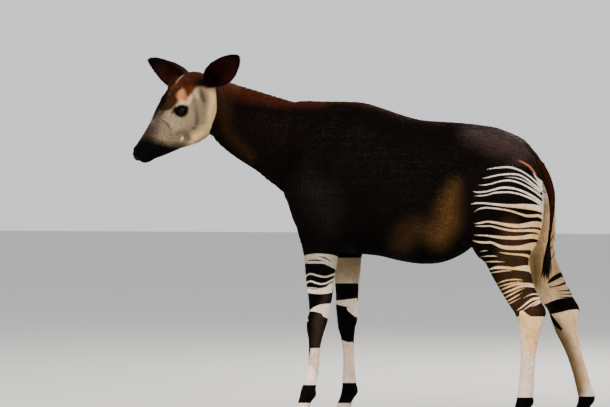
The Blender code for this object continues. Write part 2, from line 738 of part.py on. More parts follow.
def loose_parts(item):
    """The closed surfaces of an object, each as points and faces, without the shift."""
    mesh = item.data
    count = len(mesh.vertices)
    spots = np.zeros(count * 3)
    mesh.vertices.foreach_get("co", spots)
    spots = spots.reshape(-1, 3) - np.asarray(SHIFT)
    parent = np.arange(count)
    edges = np.zeros(len(mesh.edges) * 2, dtype=np.int64)
    mesh.edges.foreach_get("vertices", edges)
    edges = edges.reshape(-1, 2)
    while True:
        low = np.minimum(parent[edges[:, 0]], parent[edges[:, 1]])
        before = parent.copy()
        np.minimum.at(parent, edges[:, 0], low)
        np.minimum.at(parent, edges[:, 1], low)
        parent = parent[parent]
        if np.array_equal(before, parent):
            break
    groups = {}
    for poly in mesh.polygons:
        groups.setdefault(int(parent[poly.vertices[0]]), []).append(tuple(poly.vertices))
    out = []
    for faces in groups.values():
        used = sorted({i for f in faces for i in f})
        place = {v: n for n, v in enumerate(used)}
        out.append((spots[used], [tuple(place[i] for i in f) for f in faces]))
    return out


def mend(mesh):
    """Cuts out where the surface is open or touches itself, and closes the holes this leaves."""
    for _ in range(MENDS):
        bad = {v for e in mesh.edges if len(e.link_faces) != 2 for v in e.verts}
        bad |= {v for v in mesh.verts if not v.link_faces}
        if not bad:
            break
        bmesh.ops.delete(mesh, geom=list(bad), context="VERTS")
        bmesh.ops.holes_fill(mesh, edges=mesh.edges, sides=0)


def tidy_mesh(item, weld=WELD):
    """Welds slivers, mends the surface, and leaves triangles that face out."""
    tidy = bmesh.new()
    tidy.from_mesh(item.data)
    mend(tidy)
    bmesh.ops.remove_doubles(tidy, verts=tidy.verts, dist=weld)
    bmesh.ops.dissolve_degenerate(tidy, edges=tidy.edges, dist=weld * 0.5)
    bmesh.ops.triangulate(tidy, faces=tidy.faces)
    mend(tidy)
    bmesh.ops.triangulate(tidy, faces=tidy.faces)
    bmesh.ops.recalc_face_normals(tidy, faces=tidy.faces)
    tidy.to_mesh(item.data)
    tidy.free()


def body_weights(points):
    """How much each point of the body should be kept: more on the slim legs and the tail."""
    z = points[:, 2]
    x = points[:, 0]
    w = np.full(len(points), 0.25)
    w = np.where(z < 0.80, 0.55, w)
    w = np.where(z < 0.25, 0.85, w)
    w = np.where((x > 1.04) & (np.abs(points[:, 1]) < 0.035) & (z > 0.8), 0.9, w)
    return w


def leg_cuts():
    """The cuts that part the limbs: at elbow, knee, stifle and hock, and at the hooves."""
    out = []
    for side, fore, hind in ((LEFT, FORE_NEAR, HIND_NEAR), (RIGHT, FORE_FAR, HIND_FAR)):
        for leg, top, mid in ((fore, 3, 7), (hind, 4, 8)):
            for row in (top, mid):
                x, y, z = leg[row][:3]
                run = np.subtract(leg[row + 1][:3], leg[row - 1][:3])
                facing = (run[0], 0.0, run[2]) if row == mid else (0.0, 0.0, 1.0)
                spot = (x - 0.02, side * max(y, 0.121), z)
                out.append(sheet(spot, facing, (1.0, 0.0, 0.0), *LIMB_SHEET))
            x, y, z = leg[-2][:3]
            lean = (math.sin(CORONET_LEAN), 0.0, math.cos(CORONET_LEAN))
            out.append(sheet((x - CLAW_BACK, side * y, CORONET), lean, (1.0, 0.0, 0.0), *CORONET_SHEET))
    return out


def claw(x, y, side):
    """One claw of a hoof: flat under the foot, flat at the coronet, flat where it meets its twin."""
    points = []
    for k in range(CLAW_LEVELS):
        t = k / (CLAW_LEVELS - 1)
        bulge = 1.0 - 0.10 * math.sin(math.pi * t)
        long_side = CLAW_LENGTH * 0.5 * (1.0 - CLAW_SLOPE * t)
        wide = CLAW_WIDTH * 0.5 * (1.0 - 0.03 * t)
        for j in range(CLAW_SIDES):
            a = 2 * math.pi * j / CLAW_SIDES
            c, s = math.cos(a), math.sin(a)
            py = s * wide * bulge * (1.0 - 0.42 * max(0.0, c) ** 1.6)
            if s * side < 0:
                py *= 0.86
            px = -c * long_side * bulge - CLAW_LEAD * (1 - t) + 0.002
            top = CORONET - GAP - px * math.tan(CORONET_LEAN)
            points.append((x - CLAW_BACK + px, y + side * 0.0005 + py, t * top))
    faces = []
    n = CLAW_SIDES
    for k in range(CLAW_LEVELS - 1):
        for j in range(n):
            a = k * n + j
            b = k * n + (j + 1) % n
            faces.append((a, b, b + n, a + n))
    faces.append(tuple(range(n - 1, -1, -1)))
    faces.append(tuple((CLAW_LEVELS - 1) * n + j for j in range(n)))
    return points, faces


def ball(centre, radius, rows, columns, pole):
    """A sphere whose poles lie on a direction."""
    p = unit(pole)
    u = unit(np.cross(p, (0.0, 0.0, 1.0)))
    v = np.cross(p, u)
    c = np.asarray(centre, float)
    points = [c + p * radius]
    for i in range(1, rows):
        a = math.pi * i / rows
        for j in range(columns):
            b = 2 * math.pi * j / columns
            points.append(c + radius * (p * math.cos(a) + math.sin(a) * (u * math.cos(b) + v * math.sin(b))))
    points.append(c - p * radius)
    last = len(points) - 1
    faces = []
    for j in range(columns):
        k = (j + 1) % columns
        faces.append((0, 1 + j, 1 + k))
        faces.append((last, last - columns + k, last - columns + j))
    for i in range(rows - 2):
        for j in range(columns):
            k = (j + 1) % columns
            a = 1 + i * columns
            faces.append((a + j, a + columns + j, a + columns + k, a + k))
    return points, faces


def eye_frame(side, axes):
    f, l, h = mirrored(EYE, side)
    centre = np.asarray(HEAD_PLACE) + np.array([f, l, h]) @ axes
    out = unit((0.34, -side * 0.92, 0.10))
    return centre, out @ axes


def eye_opening(side, axes):
    """An almond-shaped plug that opens the lids in front of the eyeball."""
    centre, out = eye_frame(side, axes)
    along = unit(np.array([0.93, side * 0.36, -0.22]) @ axes)
    along = unit(along - out * (along @ out))
    up = np.cross(out, along)
    if up[2] < 0:
        up = -up
    n = 20
    near = []
    far = []
    for j in range(n):
        a = 2 * math.pi * j / n
        c, s = math.cos(a), math.sin(a)
        tall = LIDS_UP if s > 0 else LIDS_DOWN
        x = LIDS_HALF * c
        y = tall * s * (1.0 - 0.25 * abs(c) ** 3)
        near.append(centre + out * 0.010 + along * x * 0.94 + up * y * 0.94)
        far.append(centre + out * 0.045 + along * x * 1.35 + up * y * 1.5)
    points = near + far
    faces = [(j, (j + 1) % n, n + (j + 1) % n, n + j) for j in range(n)]
    faces += [tuple(range(n - 1, -1, -1)), tuple(range(n, 2 * n))]
    return points, faces


def ear_frame(side, axes):
    root = np.asarray(HEAD_PLACE) + np.array(mirrored(EAR_ROOT, side)) @ axes
    aim = unit(np.array(mirrored(EAR_AIM[side], side)) @ axes)
    hollow = np.array(mirrored(EAR_OPEN[side], side)) @ axes
    hollow = unit(hollow - aim * (hollow @ aim))
    return root, aim, hollow, np.cross(aim, hollow)


def ear_end(side, axes):
    """What is taken off the root's stub, so that the ear stands on a flat face."""
    root, aim, hollow, across = ear_frame(side, axes)
    low = root + aim * (EAR_LENGTH * EAR_CUT - GAP)
    box = [low + aim * a * 0.06 + hollow * b * 0.075 + across * c * 0.075
           for a in (0, 1) for b in (-1, 1) for c in (-1, 1)]
    return box, [(0, 1, 3, 2), (4, 6, 7, 5), (0, 4, 5, 1), (2, 3, 7, 6), (0, 2, 6, 4), (1, 5, 7, 3)]


def ear_shell(side, axes, start):
    """A cupped leaf: an arc whose radius and spread change from the root to the tip."""
    root, aim, hollow, across = ear_frame(side, axes)
    rows = 12
    columns = 11
    table = np.array(EAR_CUP)
    outer = []
    inner = []
    for i in range(rows):
        s = start + (1.0 - start) * i / (rows - 1)
        radius = np.interp(s, table[:, 0], table[:, 1])
        spread = math.radians(np.interp(s, table[:, 0], table[:, 2]))
        thick = EAR_THICK * (1.0 - 0.45 * s)
        core = root + aim * EAR_LENGTH * s + hollow * (0.020 * s ** 2 + radius * 0.45 * min(1.0, s * 1.6))
        for j in range(columns):
            a = spread * (2.0 * j / (columns - 1) - 1.0)
            way = -hollow * math.cos(a) + across * math.sin(a)
            outer.append(core + way * radius)
            inner.append(core + way * (radius - thick))
    points = outer + inner
    m = rows * columns
    faces = []
    for i in range(rows - 1):
        for j in range(columns - 1):
            a = i * columns + j
            faces.append((a, a + 1, a + 1 + columns, a + columns))
            faces.append((m + a, m + a + columns, m + a + 1 + columns, m + a + 1))
    for j in range(columns - 1):
        a = j
        faces.append((a, m + a, m + a + 1, a + 1))
        a = (rows - 1) * columns + j
        faces.append((a, a + 1, m + a + 1, m + a))
    for i in range(rows - 1):
        a = i * columns
        faces.append((a, a + columns, m + a + columns, m + a))
        a = i * columns + columns - 1
        faces.append((a, m + a, m + a + columns, a + columns))
    return points, faces


def lock(root, way, bend, length, steps=4):
    """A flat tapered lock of coarse hair: its root is square and its tip is nearly a point."""
    way = unit(way)
    flat = unit(np.cross(way, bend))
    points = []
    for i in range(steps + 1):
        t = i / steps
        half = LOCK_WIDTH * 0.5 * (1.0 - t) ** 0.7 + 0.0007
        thick = LOCK_THICK * 0.5 * (1.0 - 0.75 * t)
        here = np.asarray(root) + way * length * t + np.asarray(bend) * length * t * t
        ahead = unit(way + 2.0 * np.asarray(bend) * t)
        out = np.cross(flat, ahead)
        for a, b in ((-1, -1), (1, -1), (1, 1), (-1, 1)):
            points.append(here + flat * a * half + out * b * thick)
    faces = [(3, 2, 1, 0)]
    for i in range(steps):
        for j in range(4):
            a = i * 4 + j
            b = i * 4 + (j + 1) % 4
            faces.append((a, b, b + 4, a + 4))
    n = steps * 4
    faces.append((n, n + 1, n + 2, n + 3))
    return points, faces


def tuft():
    """The tuft at the end of the tail: a slim core and flat locks, rooted in it and fused with it."""
    top = np.array(TAIL[-1][:3])
    lead = unit(top - np.array(TAIL[-2][:3]))
    u = unit(np.cross(lead, (0.0, 1.0, 0.0)))
    v = np.cross(lead, u)
    sides = TUFT_SIDES
    points = []
    for radius, span in TUFT_CORE:
        for j in range(sides):
            a = 2 * math.pi * j / sides
            points.append(top + lead * span + (u * math.cos(a) + v * math.sin(a)) * radius)
    faces = []
    for i in range(len(TUFT_CORE) - 1):
        for j in range(sides):
            a = i * sides + j
            b = i * sides + (j + 1) % sides
            faces.append((a, b, b + sides, a + sides))
    faces.append(tuple(range(sides - 1, -1, -1)))
    faces.append(tuple((len(TUFT_CORE) - 1) * sides + j for j in range(sides)))
    item = make_object("tail_tuft", points, faces)
    face_out(item)
    rng = np.random.default_rng(11)
    group = bpy.data.collections.new("tuft_locks")
    bpy.context.scene.collection.children.link(group)
    for i in range(TUFT_LOCKS):
        share = (i + 0.5) / TUFT_LOCKS
        turn = GOLDEN_TURN * i
        out = u * math.cos(turn) + v * math.sin(turn)
        start = TUFT_ROOTS[0] + (TUFT_ROOTS[1] - TUFT_ROOTS[0]) * share
        root = top + lead * start + out * 0.0025
        way = lead + out * rng.uniform(0.12, 0.26)
        reach = rng.uniform(*TUFT_REACH)
        piece = make_object(f"lock_{i}", *lock(root, way, -0.11 * out, reach - start))
        face_out(piece)
        bpy.context.scene.collection.objects.unlink(piece)
        group.objects.link(piece)
    mod = item.modifiers.new("locks", "BOOLEAN")
    mod.operand_type = "COLLECTION"
    mod.collection = group
    mod.operation = "UNION"
    mod.solver = "EXACT"
    apply_modifiers(item)
    for piece in list(group.objects):
        bpy.data.objects.remove(piece, do_unlink=True)
    bpy.data.collections.remove(group)
    points, faces = max(loose_parts(item), key=lambda part: len(part[1]))
    bpy.data.objects.remove(item, do_unlink=True)
    item = make_object("tail_tuft", points, faces)
    tidy_mesh(item, WELD * 0.05)
    return item


def principled(name, colour, roughness, metallic=0.0):
    material = bpy.data.materials.new(name)
    material.use_nodes = True
    for node in material.node_tree.nodes:
        if node.type == "BSDF_PRINCIPLED":
            node.inputs["Base Color"].default_value = (*colour, 1.0)
            node.inputs["Roughness"].default_value = roughness
            node.inputs["Metallic"].default_value = metallic
    material.diffuse_color = (*colour, 1.0)
    return material


def paint(item, material):
    item.data.shade_smooth()
    item.data.materials.clear()
    item.data.materials.append(material)


def name_part(points):
    """What a closed piece of the cut body is, from where its middle lies."""
    low = np.min(points, axis=0)
    high = np.max(points, axis=0)
    middle = 0.5 * (low + high)
    side = "left" if middle[1] < 0 else "right"
    if high[2] - low[2] > 0.5 and high[0] - low[0] > 0.9:
        return "torso"
    if middle[0] < -0.05 and middle[2] > 1.1:
        return "neck"
    if abs(middle[1]) < 0.02 and middle[2] > 0.9 and middle[0] > 1.0:
        return "tail"
    where = "fore" if middle[0] < 0.6 else "hind"
    if middle[2] > 0.56:
        return f"{where}_leg_upper_{side}"
    if middle[2] > 0.15:
        return f"{where}_leg_lower_{side}"
    return "foot"


def build_body():
    body = Field((-0.58, -0.33, -0.02), (1.40, 0.33, 1.68), BODY_CELL)
    shape_body(body)
    points, faces = body.mesh()
    item = make_object("body_mesh", points, faces)
    thin(item, BODY_FACES, body_weights(points))
    cuts = leg_cuts()
    cuts.append(sheet(*NECK_CUT, (0.0, 1.0, 0.0), *NECK_SHEET))
    cuts.append(sheet(*HEAD_CUT, (0.0, 0.0, 1.0), *HEAD_SHEET))
    cuts.append(sheet(*TAIL_CUT, (0.0, 1.0, 0.0), *TAIL_SHEET))
    tip = np.array(TAIL[-1][:3])
    cuts.append(sheet(tip, tip - np.array(TAIL[-2][:3]), (0.0, 1.0, 0.0), *TIP_SHEET))
    cut(item, join_shapes("cuts", cuts))
    parts = {}
    for points, faces in loose_parts(item):
        name = name_part(points)
        size = np.max(points, axis=0) - np.min(points, axis=0)
        beyond = (np.mean(points, axis=0) - np.array(HEAD_CUT[0])) @ unit(HEAD_CUT[1])
        if name == "foot" or (name == "neck" and beyond > 0) or np.max(size) < SCRAP:
            continue
        parts[name] = make_object(name, points, faces)
        tidy_mesh(parts[name])
    bpy.data.objects.remove(item, do_unlink=True)
    return parts


def build_head():
    axes = head_axes()
    head = Field((-0.22, -0.13, -0.16), (0.48, 0.13, 0.24), HEAD_CELL, HEAD_PLACE, axes)
    shape_head(head)
    points, faces = head.mesh()
    item = make_object("head", points, faces)
    own = (points - np.asarray(HEAD_PLACE)) @ axes.T
    w = np.full(len(own), 0.25)
    for side in SIDES:
        eye = np.linalg.norm(own - np.array(mirrored(EYE, side)), axis=1)
        w = np.where(eye < 0.040, 0.8, w)
    w = np.where(own[:, 0] > 0.33, 0.75, w)
    thin(item, HEAD_FACES, w)
    n = unit(HEAD_CUT[1])
    c = np.asarray(HEAD_CUT[0]) + np.asarray(SHIFT) + n * GAP * 0.5
    knife = bmesh.new()
    knife.from_mesh(item.data)
    bmesh.ops.bisect_plane(knife, geom=knife.verts[:] + knife.edges[:] + knife.faces[:],
                           plane_co=c, plane_no=n, clear_inner=True)
    bmesh.ops.holes_fill(knife, edges=knife.edges, sides=0)
    knife.to_mesh(item.data)
    knife.free()
    cutters = []
    for side in SIDES:
        centre, out = eye_frame(side, axes)
        cutters.append(ball(centre, EYE_RADIUS + GAP, 10, 16, out))
    cut(item, join_shapes("sockets", cutters))
    cut(item, join_shapes("openings", [eye_opening(side, axes) for side in SIDES]))
    cut(item, join_shapes("ear_ends", [ear_end(side, axes) for side in SIDES]))
    tidy_mesh(item)
    return item, axes


def main():
    clear_scene()
    coat = principled("dark_coat", (0.060, 0.030, 0.020), 0.75)
    pale = principled("pale_coat", (0.62, 0.53, 0.42), 0.80)
    horn = principled("hoof_horn", (0.055, 0.048, 0.042), 0.45)
    wet = principled("eye_wet", (0.010, 0.007, 0.006), 0.08)
    parts = build_body()
    for name, item in parts.items():
        paint(item, pale if "lower" in name else coat)
    head, axes = build_head()
    paint(head, pale)
    for side, word in SIDES.items():
        centre, out = eye_frame(side, axes)
        points, faces = ball(centre, EYE_RADIUS, 10, 16, out)
        eye = make_object(f"eye_{word}", points, faces)
        face_out(eye)
        paint(eye, wet)
        points, faces = ear_shell(side, axes, EAR_CUT)
        ear = make_object(f"ear_{word}", points, faces)
        tidy_mesh(ear)
        paint(ear, coat)
    for side, fore, hind in ((LEFT, FORE_NEAR, HIND_NEAR), (RIGHT, FORE_FAR, HIND_FAR)):
        for place, leg in (("fore", fore), ("hind", hind)):
            x, y, z = leg[-2][:3]
            for s, edge in ((-1, "a"), (1, "b")):
                points, faces = claw(x, side * y + s * CLAW_SPREAD, s)
                hoof = make_object(f"hoof_{place}_{SIDES[side]}_{edge}", points, faces)
                tidy_mesh(hoof)
                paint(hoof, horn)
    paint(tuft(), coat)


main()
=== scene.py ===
"""The looks of a standing okapi: one seamless skin, its velvety coat and markings, eyes and hooves.

The skin is shaped as a distance field, as the solids are, but finer and as deep under them as the
coat is long. Its markings are strokes set down in the photo's own pixels and carried over to
the side that the photo doesn't show. The okapi faces -X and its left side faces -Y. Metres.
"""

import json
import math
from contextlib import contextmanager
from itertools import product

import bmesh
import bpy
import numpy as np
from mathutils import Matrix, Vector

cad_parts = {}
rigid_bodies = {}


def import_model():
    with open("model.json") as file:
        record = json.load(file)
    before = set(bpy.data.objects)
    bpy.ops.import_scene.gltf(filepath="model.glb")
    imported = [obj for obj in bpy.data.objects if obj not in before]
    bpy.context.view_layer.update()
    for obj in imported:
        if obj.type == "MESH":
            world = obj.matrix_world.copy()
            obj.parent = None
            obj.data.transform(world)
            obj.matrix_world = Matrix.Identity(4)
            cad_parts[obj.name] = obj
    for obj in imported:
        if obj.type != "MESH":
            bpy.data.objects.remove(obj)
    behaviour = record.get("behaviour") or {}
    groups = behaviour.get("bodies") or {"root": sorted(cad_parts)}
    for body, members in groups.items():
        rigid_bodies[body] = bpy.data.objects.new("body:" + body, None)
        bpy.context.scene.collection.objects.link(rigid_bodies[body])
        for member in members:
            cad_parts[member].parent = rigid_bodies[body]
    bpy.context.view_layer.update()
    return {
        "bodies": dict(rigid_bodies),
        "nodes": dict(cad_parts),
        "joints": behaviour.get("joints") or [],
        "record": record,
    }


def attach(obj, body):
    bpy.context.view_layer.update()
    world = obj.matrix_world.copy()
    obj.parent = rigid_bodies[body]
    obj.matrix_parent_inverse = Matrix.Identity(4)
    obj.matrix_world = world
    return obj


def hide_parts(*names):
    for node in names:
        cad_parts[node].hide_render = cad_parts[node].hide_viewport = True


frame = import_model()

# How far the solids stand from where the tables below place the animal
SHIFT = (-0.3111, 0.1150, 0.0)
# How far round a shape its distances are worked out, the distance in the open, and the steepest slope allowed
REACH = 0.075
FAR = 9.0
SLOPE_LIMIT = 60.0
LEFT = -1
RIGHT = 1
SIDES = {LEFT: "left", RIGHT: "right"}

# Trunk from breast to rump: x, top, underline, half the width
TRUNK = [
    (-0.060, 1.330, 1.010, 0.050),
    (-0.030, 1.400, 0.960, 0.095),
    (0.020, 1.455, 0.905, 0.130),
    (0.075, 1.474, 0.850, 0.158),
    (0.170, 1.494, 0.806, 0.182),
    (0.270, 1.493, 0.797, 0.202),
    (0.360, 1.468, 0.788, 0.217),
    (0.450, 1.437, 0.768, 0.229),
    (0.545, 1.412, 0.755, 0.236),
    (0.640, 1.404, 0.761, 0.234),
    (0.730, 1.398, 0.797, 0.221),
    (0.820, 1.388, 0.862, 0.202),
    (0.910, 1.371, 0.925, 0.185),
    (0.985, 1.326, 0.985, 0.152),
    (1.030, 1.274, 1.050, 0.102),
    (1.056, 1.238, 1.120, 0.050),
]
TRUNK_EGG = 0.16
TRUNK_POWER = 2.2

# Neck from chest to throat: x, y, z of its middle, half the width, half the depth
NECK = [
    (0.090, 0.000, 1.225, 0.135, 0.222),
    (0.005, -0.002, 1.272, 0.118, 0.220),
    (-0.070, -0.005, 1.303, 0.098, 0.202),
    (-0.137, -0.012, 1.335, 0.086, 0.182),
    (-0.236, -0.040, 1.383, 0.079, 0.166),
    (-0.305, -0.082, 1.424, 0.075, 0.151),
    (-0.355, -0.132, 1.466, 0.071, 0.131),
    (-0.392, -0.165, 1.497, 0.066, 0.106),
]

# Legs: x, y, z of the middle, half the width, half the depth. The far ones, on the right, stand further back
# and differ from the near ones in x, height and half the depth.
FORE_NEAR = [
    (0.085, 0.128, 1.060, 0.062, 0.125),
    (0.100, 0.130, 0.930, 0.062, 0.108),
    (0.106, 0.128, 0.850, 0.058, 0.092),
    (0.107, 0.124, 0.780, 0.053, 0.081),
    (0.102, 0.121, 0.700, 0.047, 0.069),
    (0.102, 0.119, 0.620, 0.041, 0.058),
    (0.098, 0.118, 0.540, 0.037, 0.049),
    (0.090, 0.118, 0.490, 0.037, 0.043),
    (0.080, 0.118, 0.440, 0.036, 0.036),
    (0.075, 0.118, 0.390, 0.027, 0.028),
    (0.071, 0.119, 0.330, 0.022, 0.025),
    (0.064, 0.120, 0.260, 0.023, 0.027),
    (0.052, 0.121, 0.200, 0.027, 0.032),
    (0.044, 0.122, 0.165, 0.030, 0.036),
    (0.028, 0.123, 0.120, 0.027, 0.029),
]
FORE_FAR = [(x, near[1], z, near[3], depth) for near, (x, z, depth) in zip(FORE_NEAR, (
    (0.120, 1.060, 0.125), (0.140, 0.930, 0.108), (0.155, 0.850, 0.092), (0.164, 0.780, 0.078),
    (0.173, 0.700, 0.061), (0.172, 0.620, 0.054), (0.169, 0.540, 0.050), (0.172, 0.490, 0.044),
    (0.172, 0.440, 0.036), (0.174, 0.390, 0.029), (0.177, 0.330, 0.026), (0.179, 0.260, 0.028),
    (0.181, 0.200, 0.033), (0.182, 0.165, 0.036), (0.168, 0.120, 0.029)))]
HIND_NEAR = [
    (0.975, 0.120, 1.130, 0.090, 0.150),
    (0.975, 0.130, 1.040, 0.090, 0.160),
    (0.968, 0.135, 0.950, 0.085, 0.162),
    (0.963, 0.137, 0.870, 0.076, 0.143),
    (0.968, 0.137, 0.800, 0.066, 0.108),
    (0.982, 0.136, 0.740, 0.057, 0.090),
    (1.004, 0.134, 0.680, 0.048, 0.078),
    (1.032, 0.132, 0.620, 0.040, 0.070),
    (1.061, 0.130, 0.570, 0.036, 0.066),
    (1.074, 0.130, 0.520, 0.035, 0.062),
    (1.072, 0.130, 0.470, 0.030, 0.050),
    (1.068, 0.130, 0.410, 0.024, 0.040),
    (1.063, 0.130, 0.340, 0.022, 0.034),
    (1.058, 0.130, 0.260, 0.023, 0.034),
    (1.053, 0.130, 0.195, 0.028, 0.036),
    (1.049, 0.130, 0.150, 0.030, 0.038),
    (1.032, 0.131, 0.115, 0.027, 0.030),
]
HIND_FAR = [(x, near[1], z, near[3], depth) for near, (x, z, depth) in zip(HIND_NEAR, (
    (0.975, 1.130, 0.150), (0.985, 1.040, 0.157), (0.992, 0.950, 0.155), (1.008, 0.870, 0.140),
    (1.035, 0.800, 0.112), (1.066, 0.740, 0.092), (1.099, 0.680, 0.080), (1.138, 0.620, 0.070),
    (1.170, 0.570, 0.066), (1.184, 0.520, 0.064), (1.193, 0.460, 0.051), (1.212, 0.400, 0.040),
    (1.234, 0.335, 0.034), (1.258, 0.260, 0.034), (1.275, 0.195, 0.035), (1.287, 0.150, 0.037),
    (1.277, 0.115, 0.030)))]
CLAW_SPREAD = 0.0215

# Muscles that melt into the trunk on both sides: middle, radii, and how softly they blend
SHOULDER = [
    ((0.025, 0.108, 1.060), (0.075, 0.060, 0.095), 0.05),
    ((0.014, 0.050, 0.990), (0.055, 0.060, 0.090), 0.05),
    ((0.150, 0.128, 1.000), (0.090, 0.060, 0.130), 0.06),
]
BLADE = [
    (0.175, 0.085, 1.400, 0.050, 0.060),
    (0.110, 0.118, 1.270, 0.056, 0.085),
    (0.045, 0.130, 1.140, 0.058, 0.090),
]
HAUNCH = [
    ((0.918, 0.092, 1.224), (0.142, 0.098, 0.118), 0.06),
    ((0.800, 0.135, 1.275), (0.060, 0.050, 0.070), 0.06),
    ((1.035, 0.075, 1.150), (0.070, 0.070, 0.100), 0.05),
    ((0.905, 0.130, 1.050), (0.105, 0.078, 0.155), 0.06),
]
FLANK_FOLD = [
    (0.760, 0.150, 0.960, 0.045, 0.070),
    (0.830, 0.150, 0.900, 0.040, 0.055),
    (0.880, 0.145, 0.840, 0.045, 0.060),
]
# The cleft under the tail: its middle and its radii
CLEFT = ((1.200, 0.0, 0.995), (0.130, 0.040, 0.215))

# Tail: x, y, z, half the width, half the depth
TAIL = [
    (1.020, 0.000, 1.276, 0.030, 0.034),
    (1.055, 0.000, 1.244, 0.027, 0.028),
    (1.091, 0.000, 1.203, 0.025, 0.024),
    (1.122, 0.000, 1.150, 0.024, 0.022),
    (1.144, 0.000, 1.085, 0.020, 0.019),
    (1.151, 0.000, 1.015, 0.0135, 0.0135),
    (1.147, 0.000, 0.950, 0.0095, 0.0090),
    (1.139, 0.000, 0.885, 0.0085, 0.0085),
    (1.133, 0.000, 0.830, 0.0085, 0.0085),
    (1.130, 0.000, 0.805, 0.0085, 0.0085),
]

# Head: the middle of its skull, where it faces, and its sizes along the muzzle
HEAD_PLACE = (-0.417, -0.187, 1.481)
HEAD_TURN = math.radians(225)
HEAD_DIP = math.radians(38)
# forward, top, underline, half the width
SKULL = [
    (-0.078, 0.110, 0.030, 0.030),
    (-0.060, 0.142, -0.010, 0.052),
    (-0.030, 0.168, -0.040, 0.068),
    (0.010, 0.181, -0.058, 0.077),
    (0.060, 0.184, -0.064, 0.082),
    (0.110, 0.178, -0.062, 0.081),
    (0.160, 0.164, -0.056, 0.072),
    (0.215, 0.145, -0.056, 0.057),
    (0.270, 0.119, -0.050, 0.048),
    (0.320, 0.100, -0.036, 0.044),
    (0.362, 0.087, -0.018, 0.043),
    (0.398, 0.075, -0.006, 0.043),
    (0.420, 0.062, 0.004, 0.038),
    (0.434, 0.042, 0.018, 0.022),
]
SKULL_EGG = 0.22
SKULL_POWER = 2.3
EYE = (0.150, 0.0625, 0.083)
EYE_RADIUS = 0.0235
# Which way the left eye looks, and which way the line between its corners runs
EYE_OUT = (0.34, 0.92, 0.10)
EYE_ALONG = (0.93, -0.36, -0.22)
LID_THICK = 0.0045
# The lids' opening: half its length, and how far it goes up and down from the middle
LIDS_HALF = 0.0205
LIDS_UP = 0.0148
LIDS_DOWN = 0.0128

# The jaw's left bone in the head's frame: forward, left, up, half the width, half the depth
JAW = [
    (0.020, 0.046, 0.030, 0.024, 0.050),
    (0.040, 0.048, -0.030, 0.024, 0.045),
    (0.085, 0.044, -0.064, 0.022, 0.037),
    (0.150, 0.036, -0.071, 0.020, 0.029),
    (0.230, 0.024, -0.046, 0.018, 0.021),
    (0.310, 0.015, -0.022, 0.018, 0.018),
    (0.373, 0.010, -0.004, 0.018, 0.014),
    (0.404, 0.006, 0.006, 0.018, 0.011),
]
# Cheek, brow and poll on the left, in the same frame: middle, radii, how softly they blend
CHEEK = [
    ((0.062, 0.058, -0.005), (0.060, 0.026, 0.070), 0.030),
    ((0.150, 0.052, 0.020), (0.075, 0.020, 0.022), 0.025),
    ((0.118, 0.055, 0.130), (0.042, 0.024, 0.022), 0.030),
    ((0.060, 0.038, 0.162), (0.030, 0.026, 0.026), 0.030),
]
MOUTH_LINE = [(0.435, 0.000, 0.010), (0.428, 0.020, 0.009), (0.405, 0.039, 0.006),
              (0.372, 0.045, 0.008), (0.335, 0.046, 0.013), (0.300, 0.048, 0.019)]
NOSTRIL_LINE = [(0.430, 0.018, 0.051), (0.422, 0.030, 0.058), (0.408, 0.041, 0.062)]
# Half width and half depth of the mouth's line and of a nostril
MOUTH_GROOVE = (0.0040, 0.0065)
NOSTRIL_SLIT = (0.0050, 0.0080)
# Bare skin: the middle of the left nostril, how far round it and round an eye no hair grows, and where
# the muzzle ends
NOSTRIL = (0.434, 0.030, 0.060)
NOSTRIL_BARE = 0.017
EYE_BARE = EYE_RADIUS + 0.0052
MUZZLE_END = 0.438

# Ears: length, where they root on the left of the head, their aim and the way the cup opens, how thick they
# are, the share of their length that the head's own skin covers, and the depth of the folds inside
EAR_LENGTH = 0.240
EAR_ROOT = (-0.030, 0.060, 0.104)
EAR_AIM = {LEFT: (-0.46, 0.853, 0.22), RIGHT: (0.28, 0.58, 0.76)}
EAR_OPEN = {LEFT: (0.50, 0.80, -0.10), RIGHT: (0.85, -0.50, -0.10)}
EAR_THICK = 0.0060
EAR_CUT = 0.10
EAR_FOLD = 0.0012
# share of the length, radius of the cup, half the angle it spans in degrees
EAR_CUP = [
    (-0.10, 0.026, 158.0),
    (0.00, 0.029, 150.0),
    (0.12, 0.038, 132.0),
    (0.28, 0.056, 106.0),
    (0.46, 0.067, 84.0),
    (0.64, 0.069, 61.0),
    (0.80, 0.066, 42.0),
    (0.92, 0.062, 23.0),
    (1.00, 0.060, 4.0),
]

# Where the thin cuts run that part the body: a point and the way they face
NECK_CUT = ((-0.040, 0.000, 1.290), (-0.86, 0.0, 0.50))
HEAD_CUT = ((-0.345, -0.118, 1.462), (-0.66, -0.45, 0.42))

# Camera: where it stands over the unshifted animal, how far, and the photo's size in pixels
VIEW_TURN = math.radians(14)
VIEW_FAR = 14.0
VIEW_HIGH = 1.2
VIEW_FROM = (VIEW_FAR * math.sin(VIEW_TURN), -VIEW_FAR * math.cos(VIEW_TURN), VIEW_HIGH)
VIEW_AIM = (0.0, 0.0, 1.028)
PHOTO_SIZE = (610, 407)
PIXELS_A_METRE = 217.0
SENSOR_MM = 36.0

